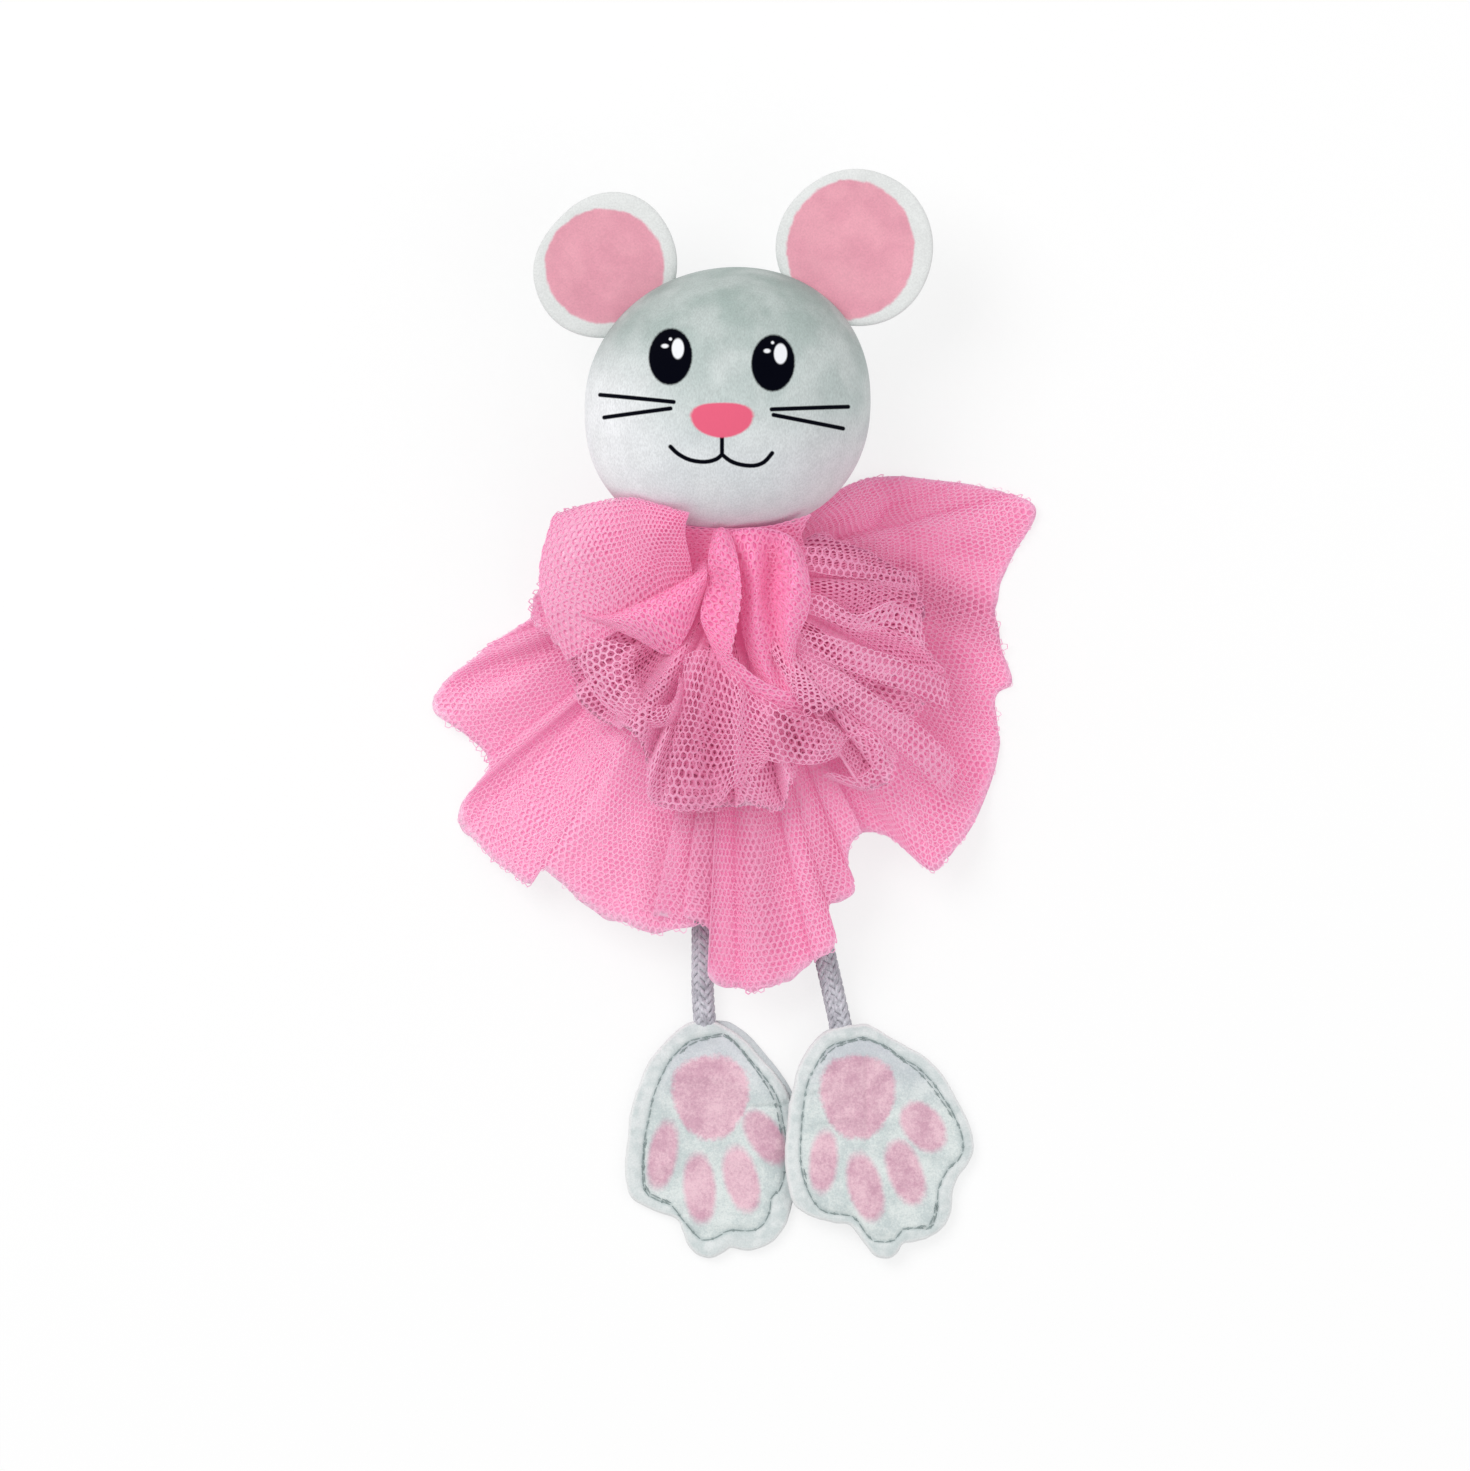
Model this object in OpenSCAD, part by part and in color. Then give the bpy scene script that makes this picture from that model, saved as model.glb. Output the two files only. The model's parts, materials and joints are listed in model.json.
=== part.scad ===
// Soft toy mouse, lying on its back: a stuffed head, a net ruffle and two cord legs with flat paws.
// +Z points out of the face, +Y towards the top of the head. The toy lies on z = 0.

/* [Head] */
// Width and depth of the stuffed head
head_w = 62; // [56:1:70]
// Height of the head from the neck to its top
head_h = 58; // [52:1:64]
// Fullness of the head's top half: 2 is an ellipse, and more is squarer
crown_power = 2.05; // [2:0.05:2.5]
// Fullness of the head's bottom half
jaw_power = 2.3; // [2:0.05:2.5]
// How far the head's centre lies to the left of the toy's middle
head_offset = 1.5; // [0:0.5:4]
// Thickness of the head's velour
head_cloth = 1.6; // [1:0.1:2.4]
// Depth of the flat on which the head lies
head_flat = 0.5; // [0.3:0.1:1]

/* [Ears] */
// Diameter of the left ear
ear_left_d = 31.5; // [26:0.5:36]
// Diameter of the right ear
ear_right_d = 34; // [28:0.5:38]
// Direction of the left ear from the head's centre, in degrees from +X
ear_left_turn = 133; // [120:1:145]
// Direction of the right ear from the head's centre, in degrees from +X
ear_right_turn = 50.5; // [40:0.5:60]
// How far each ear's disc reaches in behind the head's outline
ear_tuck = 5; // [3:0.5:8]
// Thickness of one cloth layer of an ear
ear_cloth = 1.3; // [0.8:0.1:2]

/* [Neck] */
// Diameter of the thread binding at the neck
tie_d = 10; // [8:0.5:14]
// Length of the thread binding along the neck
tie_l = 3; // [2:0.5:5]
// Diameter of the bunched net below the binding
gather_d = 10; // [8:0.5:14]
// Height of the bunched net
gather_h = 14; // [13.5:0.5:18]

/* [Ruffle] */
// Thickness that a layer of net takes up
net_t = 0.8; // [0.6:0.1:1]
// Air between one layer of net and the next
net_gap = 0.6; // [0.4:0.1:1.2]
// Number of pleats that a full turn of net would have
pleats = 20; // [12:1:26]
// Height of the pleats at the hem
pleat_h = 7; // [3:0.5:10]
// How much wider the ruffle's hems are spread than in the design
net_spread = 1; // [0.8:0.02:1.06]
// How far the collar puffs up
collar_puff = 7; // [5:0.5:8]
// How far the middle flounce puffs up
middle_puff = 9; // [8:0.5:12]
// How far the front ruffle puffs up
ruffle_puff = 15; // [12:0.5:18]

/* [Legs] */
// Diameter of the braided cord
cord_d = 5; // [4:0.5:6]
// Height of the cords' middle where they leave the neck
cord_top_z = 21; // [19:0.5:22]

/* [Paws] */
// Width of a paw
paw_w = 41; // [34:1:46]
// Length of a paw
paw_l = 51; // [44:1:58]
// Thickness of one cloth layer of a paw
paw_cloth = 1.5; // [1:0.1:2]
// Thickness of the film between a paw's layers
film_t = 0.4; // [0.2:0.1:0.8]
// How far the stitching lies inside a paw's edge
stitch_inset = 3; // [2:0.25:5]
// Width of the stitching thread
stitch_w = 0.7; // [0.4:0.1:1.2]
// Lean of the right paw, which lies over the left one
paw_lean = 6; // [6:0.5:9]

/* [Hidden] */
$fn = 64;

// Clearance between soft pieces that move against each other
gap = 0.3;
// Room between the wadding and the velour round it
fill_gap = 0.05;
// Room for the ears' corners when the ears bend
ear_bend_room = 0.35;
// A little more than nothing, so that a cut passes its face
over = 1;

// The neck's place, from which the head and the ruffle are set out
neck_y = 38.8;
head_z = head_w / 2 - head_flat;
head_at = [-head_offset, neck_y + head_h / 2, head_z];
tie_y = neck_y - gap - tie_l / 2;
gather_y = tie_y - tie_l / 2 - gather_d / 2;
gather_at = [-head_offset, gather_y];

cloth = "lavender";
sage = [0.79, 0.85, 0.84];
ear_pink = [0.91, 0.66, 0.72];
net_pink = [0.98, 0.6, 0.78];

// Smooth curve through a list of points, with n steps from one to the next
function catmull(a, b, c, d, t) =
    0.5 * (2 * b + (c - a) * t + (2 * a - 5 * b + 4 * c - d) * t * t + (3 * b - a - 3 * c + d) * t * t * t);
function closed_curve(p, n) = [for (i = [0 : len(p) - 1]) for (k = [0 : n - 1])
    catmull(p[(i + len(p) - 1) % len(p)], p[i], p[(i + 1) % len(p)], p[(i + 2) % len(p)], k / n)];
function open_curve(p, n) = concat([for (i = [0 : len(p) - 2]) for (k = [0 : n - 1])
    catmull(p[max(i - 1, 0)], p[i], p[i + 1], p[min(i + 2, len(p) - 1)], k / n)], [p[len(p) - 1]]);

// ---- Head ----

// Half of the head's outline, grown all round by g, from the bottom to the top
function head_profile(g) = let (n = 30, rx = head_w / 2 + g, ry = head_h / 2 + g)
    [for (i = [0 : n]) let (a = -90 + 180 * i / n, e = 2 / (a < 0 ? jaw_power : crown_power))
        [rx * pow(abs(cos(a)), e), ry * sign(sin(a)) * pow(abs(sin(a)), e)]];

module head_solid(g) {
    translate(head_at) rotate([-90, 0, 0]) rotate_extrude() polygon(head_profile(g));
}

module head_half(front) {
    reach = head_w;
    difference() {
        head_solid(0);
        head_solid(-head_cloth);
        translate([head_at.x, head_at.y, head_z + (front ? -reach / 2 : reach / 2)])
            cube([2 * reach, 2 * reach, reach], center = true);
        translate([head_at.x, head_at.y, -reach / 2]) cube([2 * reach, 2 * reach, reach], center = true);
    }
}

module head_front() { color(sage) head_half(true); }
module head_back() { color(sage) head_half(false); }
module head_fill() { color("white") head_solid(-head_cloth - fill_gap); }

// ---- Ears ----

// Distance from the head's centre to its outline in a direction, by the same rule as its profile
function head_reach(turn) =
    pow(pow(abs(cos(turn)) * 2 / head_w, crown_power) + pow(abs(sin(turn)) * 2 / head_h, crown_power),
        -1 / crown_power);

// Largest reach of the head's outline near an ear, plus the room that the ear's bend takes
function ear_seat(turn) = max([for (t = [-22 : 2 : 22]) head_reach(turn + t)]) + gap + ear_bend_room;

// One layer of an ear, cut clear of the head
module ear_layer(d, turn, front) {
    translate(head_at + [0, 0, front ? 0 : -ear_cloth]) difference() {
        rotate(turn) translate([head_reach(turn) - ear_tuck + d / 2, 0, 0]) cylinder(d = d, h = ear_cloth);
        translate([0, 0, -over]) cylinder(r = ear_seat(turn), h = ear_cloth + 2 * over);
    }
}

module ear_left_front() { color(ear_pink) ear_layer(ear_left_d, ear_left_turn, true); }
module ear_left_back() { color(sage) ear_layer(ear_left_d, ear_left_turn, false); }
module ear_right_front() { color(ear_pink) ear_layer(ear_right_d, ear_right_turn, true); }
module ear_right_back() { color(sage) ear_layer(ear_right_d, ear_right_turn, false); }

// ---- Neck ----

module neck_tie() {
    color("palevioletred") translate([head_at.x, tie_y, head_z]) rotate([90, 0, 0])
        rotate_extrude() union() {
            translate([0, -tie_l / 2]) square([tie_d / 2 - tie_l / 4, tie_l]);
            translate([0, -tie_l / 4]) square([tie_d / 2, tie_l / 2]);
        }
}

module tulle_gather() {
    color("hotpink") translate([gather_at.x, gather_at.y, net_z(ruffle_level) - ruffle_dip - gather_h])
        cylinder(d = gather_d, h = gather_h);
}

// ---- Net ruffle ----

// Where the layers leave the gather, and how steeply they fall to what they lie on
net_start = gather_d / 2 + gap;
cord_room = cord_d / 2 + 2 * gap + 0.1;
net_root_z = cord_top_z + cord_room;
net_fall = 34;
// Distances over which the pleats grow, and over which a layer puffs up and sinks again
pleat_rise = 30;
puff_rise = 16;
puff_crest = 26;
puff_sink = 30;
// Extra room under the net at the cords' far ends, where the right one lies higher
far_room = 2.5;
// Depth of the flats in the pleats' valleys
valley_flat = 0.5;
// The front ruffle is the topmost layer, and starts over the gather's top
ruffle_level = 5.4;
ruffle_start = 1.5;
// How far the front ruffle dips before it passes the gather's edge
ruffle_dip = 1.9;
// Directions between which the net lies over the cords and not on the ground
over_cords = [-126, -46];
over_blend = 14;
// Farthest distance of a cord's end from the gather
cord_reach = 100;

function smooth(t) = let (c = min(max(t, 0), 1)) c * c * (3 - 2 * c);

// Height of a cord's middle at its paw, and then at distance r from the gather
cord_low_z = cord_d / 2 + gap;
function cord_z(r) = cord_low_z
    + (cord_top_z - cord_low_z) * pow(max(1 - (r - net_start) / (cord_reach - net_start), 0), 1.5);

// Height of the lowest layer's underside: the ground at the sides, and the cords in the middle
function net_base(r, a) =
    let (near = min(max(1 - (r - net_start) / net_fall, 0), 1),
        side = net_root_z * pow(near, 1.4),
        mid = cord_z(r) + cord_room + far_room * r / cord_reach,
        w = smooth((a - over_cords[0]) / over_blend) * smooth((over_cords[1] - a) / over_blend))
    side * (1 - w) + max(mid, side) * w;

// Pleats start flat at the gather and grow towards the hem; their valleys are cut flat
function net_pleat(r, a) =
    let (grow = smooth((r - net_start) / pleat_rise) * pleat_h)
    max(grow * (0.5 + 0.5 * cos(pleats * a)) - valley_flat, 0);

// How far a layer puffs up between the gather and its hem
function net_puff(r) =
    smooth((r - net_start) / puff_rise) * (1 - 0.45 * smooth((r - puff_crest) / puff_sink));

function net_height(r, a, layer, puff) =
    net_base(r, a) + net_pleat(r, a) + layer * (net_t + net_gap) + puff * net_puff(r);

// Height of a layer's underside where it meets the gather
function net_z(layer) = net_root_z + layer * (net_t + net_gap);

// A layer of net spread from the gather to its hem, given by points that it passes
module net_layer(hem, layer, puff, steps, start = net_start) {
    rings = 5;
    edge = open_curve(hem, steps);
    n = len(edge);
    // Points on the ray from the gather to each point of the hem, underside first
    spot = [for (p = edge) let (d = p * net_spread - [0, gather_at.y * (net_spread - 1)] - gather_at,
        r = norm(d), a = let (q = atan2(d.y, d.x)) q > 90 ? q - 360 : q)
        for (j = [0 : rings]) let (s = start + (r - start) * j / rings,
            z = net_height(s, a, layer, puff))
            [gather_at.x + d.x / r * s, gather_at.y + d.y / r * s, z]];
    m = len(spot);
    points = concat(spot, [for (p = spot) p + [0, 0, net_t]]);
    row = rings + 1;
    flat = [for (i = [0 : n - 2]) for (j = [0 : rings - 1]) let (k = i * row + j)
        each [[k, k + 1, k + row], [k + 1, k + row + 1, k + row]]];
    upper = [for (f = flat) [f[0] + m, f[2] + m, f[1] + m]];
    // Closes the edge between two neighbouring points of the underside, a then b
    function wall(a, b) = [[a, a + m, b], [b, a + m, b + m]];
    hem_wall = [for (i = [0 : n - 2]) each wall(i * row + rings, (i + 1) * row + rings)];
    root_wall = [for (i = [0 : n - 2]) each wall((i + 1) * row, i * row)];
    first_wall = [for (j = [0 : rings - 1]) each wall(j, j + 1)];
    last_wall = [for (j = [0 : rings - 1]) each wall((n - 1) * row + j + 1, (n - 1) * row + j)];
    polyhedron(points, concat(flat, upper, hem_wall, root_wall, first_wall, last_wall), convexity = 8);
}

// The hems' points, from right to left round the gather
wing_hem = [[19, 45], [37, 51], [55, 49.5], [66, 45], [59, 32], [57.5, 26], [58, 17], [61, 7],
    [57.5, 3], [57.5, -11], [51.5, -24], [44, -34.5], [34, -27], [27, -26]];
skirt_hem = [[28, -26], [24.5, -31], [26, -39], [20.5, -43], [22, -51], [15, -55], [9.5, -59], [3, -61],
    [-3.5, -59], [-6, -56], [-5, -50], [-8, -46], [-18, -44]];
fan_hem = [[-8, -46.5], [-18, -48], [-29, -44], [-38.5, -37], [-43, -34.5], [-46, -37.5], [-58, -26],
    [-60.5, -20.5], [-54.5, -10], [-66, 2.5], [-55, 14], [-45, 21], [-43, 26]];
collar_hem = [[-36, 12], [-44.5, 21], [-43, 28], [-40, 38], [-39, 44], [-29, 45], [-24, 43]];
middle_hem = [[42, 2], [36, -4], [34, -14], [28, -16], [22, -9], [14, -12], [10, -21], [2, -20],
    [-8, -21.5], [-18, -20], [-19, -12], [-22, -4], [-30, -1], [-36, 8], [-34, 20]];
ruffle_hem = [[17, 39.5], [32, 34], [41, 25], [41, 16], [45, 9], [34, 8], [24, 2], [14, -1.5], [8, 3],
    [2, 2], [-6, 6], [-14, 13], [-24, 16], [-32, 22], [-27, 32], [-19, 39]];

module tulle_wing() { color(net_pink) net_layer(wing_hem, 0, 0, 4); }
module tulle_fan() { color(net_pink) net_layer(fan_hem, 1, 0, 4); }
module tulle_skirt() { color(net_pink) net_layer(skirt_hem, 2, 0, 4); }
module tulle_collar() { color(net_pink) net_layer(collar_hem, 3, collar_puff, 5); }
module tulle_middle() { color(net_pink) net_layer(middle_hem, 4, middle_puff, 3); }
module tulle_ruffle() { color(net_pink) net_layer(ruffle_hem, ruffle_level, ruffle_puff, 3, ruffle_start); }

// ---- Cords ----

// Where each cord runs into its paw, which is also where the paw turns
ankle_left = [-6.5, -67.5];
ankle_right = [23, -68];
paw_t = 2 * paw_cloth + film_t;
// The right paw leans on its outer edge
lean_x = ankle_right.x + 0.7 * paw_w;
function lean_z(x) = (lean_x - x) * sin(paw_lean);
ankle_left_z = cord_low_z;
ankle_right_z = lean_z(ankle_right.x) + paw_t / 2 * cos(paw_lean) + 0.5;

// Points that each cord passes, from the neck to its paw
left_route = [[-4.5, 22], [-5, 10], [-6, -5], [-7, -20], [-7, -35], [-7, -50], [-7, -60]];
right_route = [[1.5, 22], [4, 10], [8, -5], [12, -20], [15.5, -35], [19, -50], [21.5, -61]];

function cord_points(route, ankle, ankle_z) =
    concat([for (p = route) let (r = norm(p - gather_at)) [p.x, p.y, cord_z(r) +
        (ankle_z - cord_low_z) * pow(min(r / cord_reach, 1), 3)]], [[ankle.x, ankle.y, ankle_z]]);

// A round tube along a curve, as one closed solid
module cord_tube(route) {
    sides = 10;
    line = open_curve(route, 2);
    n = len(line);
    rings = [for (i = [0 : n - 1])
        let (t = line[min(i + 1, n - 1)] - line[max(i - 1, 0)], u = t / norm(t),
            v0 = cross(u, [0, 0, 1]), v = v0 / norm(v0), w = cross(v, u))
        for (k = [0 : sides - 1]) line[i] + cord_d / 2 * (cos(360 * k / sides) * v + sin(360 * k / sides) * w)];
    skin = [for (i = [0 : n - 2]) for (k = [0 : sides - 1])
        let (a = i * sides + k, b = i * sides + (k + 1) % sides)
        each [[a, b, a + sides], [b, b + sides, a + sides]]];
    start = [for (k = [1 : sides - 2]) [0, k + 1, k]];
    end = [for (k = [1 : sides - 2]) let (e = (n - 1) * sides) [e, e + k, e + k + 1]];
    polyhedron(rings, concat(skin, start, end));
}

module leg_cord_left() { color(cloth) cord_tube(cord_points(left_route, ankle_left, ankle_left_z)); }
module leg_cord_right() { color(cloth) cord_tube(cord_points(right_route, ankle_right, ankle_right_z)); }

// ---- Paws ----

// Each outline from its ankle, in shares of the paw's width and length
left_outline = [[0, 0.01], [0.14, -0.02], [0.26, -0.08], [0.39, -0.2], [0.45, -0.32], [0.47, -0.5],
    [0.45, -0.68], [0.42, -0.85], [0.34, -0.93], [0.24, -0.96], [0.14, -0.945], [0.02, -1],
    [-0.09, -0.965], [-0.16, -0.85], [-0.29, -0.81], [-0.4, -0.76], [-0.43, -0.65], [-0.42, -0.49],
    [-0.385, -0.335], [-0.3, -0.14], [-0.17, -0.035]];
right_outline = [[0, 0.01], [0.13, 0.01], [0.28, -0.04], [0.45, -0.14], [0.59, -0.28], [0.68, -0.42],
    [0.7, -0.51], [0.6, -0.64], [0.585, -0.76], [0.53, -0.86], [0.43, -0.91], [0.34, -0.91],
    [0.26, -0.965], [0.17, -0.98], [0.09, -0.9], [0.02, -0.835], [-0.1, -0.83], [-0.23, -0.775],
    [-0.29, -0.69], [-0.31, -0.56], [-0.285, -0.32], [-0.24, -0.175], [-0.15, -0.065]];
function paw_outline(shares) = closed_curve([for (p = shares) [p.x * paw_w, p.y * paw_l]], 3);

// A flat layer of a paw, drawn in from the outline, with room for the cord's end
module paw_layer(shares, inset, z, t) {
    difference() {
        translate([0, 0, z]) linear_extrude(t) offset(delta = -inset) polygon(paw_outline(shares));
        translate([0, 0, -cord_d]) cylinder(d = cord_d + 2 * gap, h = 2 * cord_d + paw_t);
    }
}

module paw_stitch(shares) {
    difference() {
        paw_layer(shares, stitch_inset, paw_t, gap);
        translate([0, 0, paw_t - over]) linear_extrude(2 * over)
            offset(delta = -stitch_inset - stitch_w) polygon(paw_outline(shares));
    }
}

// Sets a paw's pieces down at its ankle
module at_left() { translate([ankle_left.x, ankle_left.y, 0]) children(); }
module at_right() {
    translate([lean_x, ankle_right.y, 0]) rotate([0, paw_lean, 0])
        translate([(ankle_right.x - lean_x) / cos(paw_lean), 0, 0]) children();
}

module paw_left_back() { color(sage) at_left() paw_layer(left_outline, 0, 0, paw_cloth); }
module paw_left_film() { color("white") at_left() paw_layer(left_outline, 1, paw_cloth, film_t); }
module paw_left_front() { color(sage) at_left() paw_layer(left_outline, 0, paw_t - paw_cloth, paw_cloth); }
module paw_left_stitching() { color("slategray") at_left() paw_stitch(left_outline); }
module paw_right_back() { color(sage) at_right() paw_layer(right_outline, 0, 0, paw_cloth); }
module paw_right_film() { color("white") at_right() paw_layer(right_outline, 1, paw_cloth, film_t); }
module paw_right_front() { color(sage) at_right() paw_layer(right_outline, 0, paw_t - paw_cloth, paw_cloth); }
module paw_right_stitching() { color("slategray") at_right() paw_stitch(right_outline); }

head_front();
head_back();
head_fill();
ear_left_front();
ear_left_back();
ear_right_front();
ear_right_back();
neck_tie();
tulle_gather();
tulle_wing();
tulle_fan();
tulle_skirt();
tulle_collar();
tulle_middle();
tulle_ruffle();
leg_cord_left();
leg_cord_right();
paw_left_front();
paw_left_film();
paw_left_back();
paw_left_stitching();
paw_right_front();
paw_right_film();
paw_right_back();
paw_right_stitching();
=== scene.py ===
"""Soft toy mouse lying on its back: velour head and ears, net ruffle, braided cords and quilted paws."""
import json
import math

import bpy
import numpy as np
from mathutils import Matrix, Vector


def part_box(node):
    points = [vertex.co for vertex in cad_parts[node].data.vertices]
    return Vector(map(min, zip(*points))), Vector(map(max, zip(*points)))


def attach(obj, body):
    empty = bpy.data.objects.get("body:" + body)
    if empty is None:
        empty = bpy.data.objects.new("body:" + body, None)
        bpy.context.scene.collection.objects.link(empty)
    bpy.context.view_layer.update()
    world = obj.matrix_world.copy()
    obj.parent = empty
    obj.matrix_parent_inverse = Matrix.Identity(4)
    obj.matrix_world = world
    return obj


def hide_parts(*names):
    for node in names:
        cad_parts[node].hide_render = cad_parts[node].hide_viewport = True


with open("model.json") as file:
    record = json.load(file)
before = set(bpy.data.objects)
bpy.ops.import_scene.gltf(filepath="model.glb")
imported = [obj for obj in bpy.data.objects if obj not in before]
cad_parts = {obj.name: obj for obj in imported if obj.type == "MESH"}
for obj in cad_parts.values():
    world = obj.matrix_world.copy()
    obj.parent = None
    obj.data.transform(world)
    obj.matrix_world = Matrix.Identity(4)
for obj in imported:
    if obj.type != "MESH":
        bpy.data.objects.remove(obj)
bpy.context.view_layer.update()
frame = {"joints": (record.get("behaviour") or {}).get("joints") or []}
MM = 0.001


# ---------------------------------------------------------------- places, in millimetres, from the frame

def box_mm(*nodes):
    """Lowest and highest corner of some CAD nodes together."""
    boxes = [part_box(n) for n in nodes]
    low = np.min([b[0] for b in boxes], axis=0) / MM
    high = np.max([b[1] for b in boxes], axis=0) / MM
    return low, high


def joint_mm(name):
    """A joint's place and axis."""
    joint = next(j for j in frame["joints"] if j["name"] == name)
    return np.array(joint["pos_m"]) / MM, np.array(joint["axis"], float)


HEAD_LOW, HEAD_HIGH = box_mm("head_front", "head_back")
HEAD_W = HEAD_HIGH[0] - HEAD_LOW[0]
HEAD_H = HEAD_HIGH[1] - HEAD_LOW[1]
HEAD = np.array([(HEAD_LOW[0] + HEAD_HIGH[0]) / 2, (HEAD_LOW[1] + HEAD_HIGH[1]) / 2,
                 HEAD_HIGH[2] - HEAD_W / 2])
GATHER_LOW, GATHER_HIGH = box_mm("tulle_gather")
GATHER = (GATHER_LOW + GATHER_HIGH) / 2
ANKLE = {side: joint_mm(f"paw_{side}_turn")[0] for side in ("left", "right")}

CORD_LOW, CORD_TOP, CORD_REACH = 2.8, 21.0, 100.0
NET_START = 5.3


# ---------------------------------------------------------------- camera, floor and light

def make_camera():
    """A far camera straight above, whose view is view_width wide at the toy's middle height."""
    height, middle, view_width, sensor = 6.0, 0.015, 0.319, 36
    data = bpy.data.cameras.new("camera")
    camera = bpy.data.objects.new("camera", data)
    bpy.context.scene.collection.objects.link(camera)
    camera.location = (0, -0.0045, height)
    data.sensor_width = sensor
    data.lens = sensor * (height - middle) / view_width
    data.clip_end = 20
    bpy.context.scene.camera = camera


def area_light(name, place, size, power, aim=(0, 0, 0.02)):
    data = bpy.data.lights.new(name, "AREA")
    data.energy = power
    data.size = size
    light = bpy.data.objects.new(name, data)
    light.location = place
    light.rotation_euler = (Vector(aim) - Vector(place)).to_track_quat("-Z", "Y").to_euler()
    bpy.context.scene.collection.objects.link(light)


def make_stage():
    """A white floor and soft light, with the key from the upper left."""
    scene = bpy.context.scene
    scene.view_settings.view_transform = "Standard"
    world = bpy.data.worlds.new("studio")
    scene.world = world
    world.use_nodes = True
    nodes, links = world.node_tree.nodes, world.node_tree.links
    sky = nodes["Background"]
    sky.inputs["Color"].default_value = (1, 1, 1, 1)
    path = nodes.new("ShaderNodeLightPath")
    strength = nodes.new("ShaderNodeMapRange")
    strength.inputs["To Min"].default_value = 0.55
    strength.inputs["To Max"].default_value = 1.0
    links.new(path.outputs["Is Camera Ray"], strength.inputs["Value"])
    links.new(strength.outputs["Result"], sky.inputs["Strength"])
    area_light("key", (-0.7, 0.6, 1.3), 0.9, 11)
    area_light("fill", (0.9, -0.3, 1.1), 1.2, 4)

    mesh = bpy.data.meshes.new("floor")
    reach = 3.0
    mesh.from_pydata([(-reach, -reach, 0), (reach, -reach, 0), (reach, reach, 0), (-reach, reach, 0)],
                     [], [(0, 1, 2, 3)])
    floor = bpy.data.objects.new("floor", mesh)
    scene.collection.objects.link(floor)
    material = bpy.data.materials.new("floor paper")
    material.use_nodes = True
    nodes, links = material.node_tree.nodes, material.node_tree.links
    paper = nodes["Principled BSDF"]
    paper.inputs["Base Color"].default_value = (0.9, 0.9, 0.9, 1)
    paper.inputs["Roughness"].default_value = 0.9
    glow = nodes.new("ShaderNodeEmission")
    glow.inputs["Strength"].default_value = 1.04
    path = nodes.new("ShaderNodeLightPath")
    share = nodes.new("ShaderNodeMath")
    share.operation = "MULTIPLY"
    share.inputs[1].default_value = 0.72
    mix = nodes.new("ShaderNodeMixShader")
    links.new(path.outputs["Is Camera Ray"], share.inputs[0])
    links.new(share.outputs[0], mix.inputs["Fac"])
    links.new(paper.outputs[0], mix.inputs[1])
    links.new(glow.outputs[0], mix.inputs[2])
    links.new(mix.outputs[0], nodes["Material Output"].inputs["Surface"])
    mesh.materials.append(material)


# ---------------------------------------------------------------- shader helpers

CLOTH_MAP = "cloth"


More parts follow.
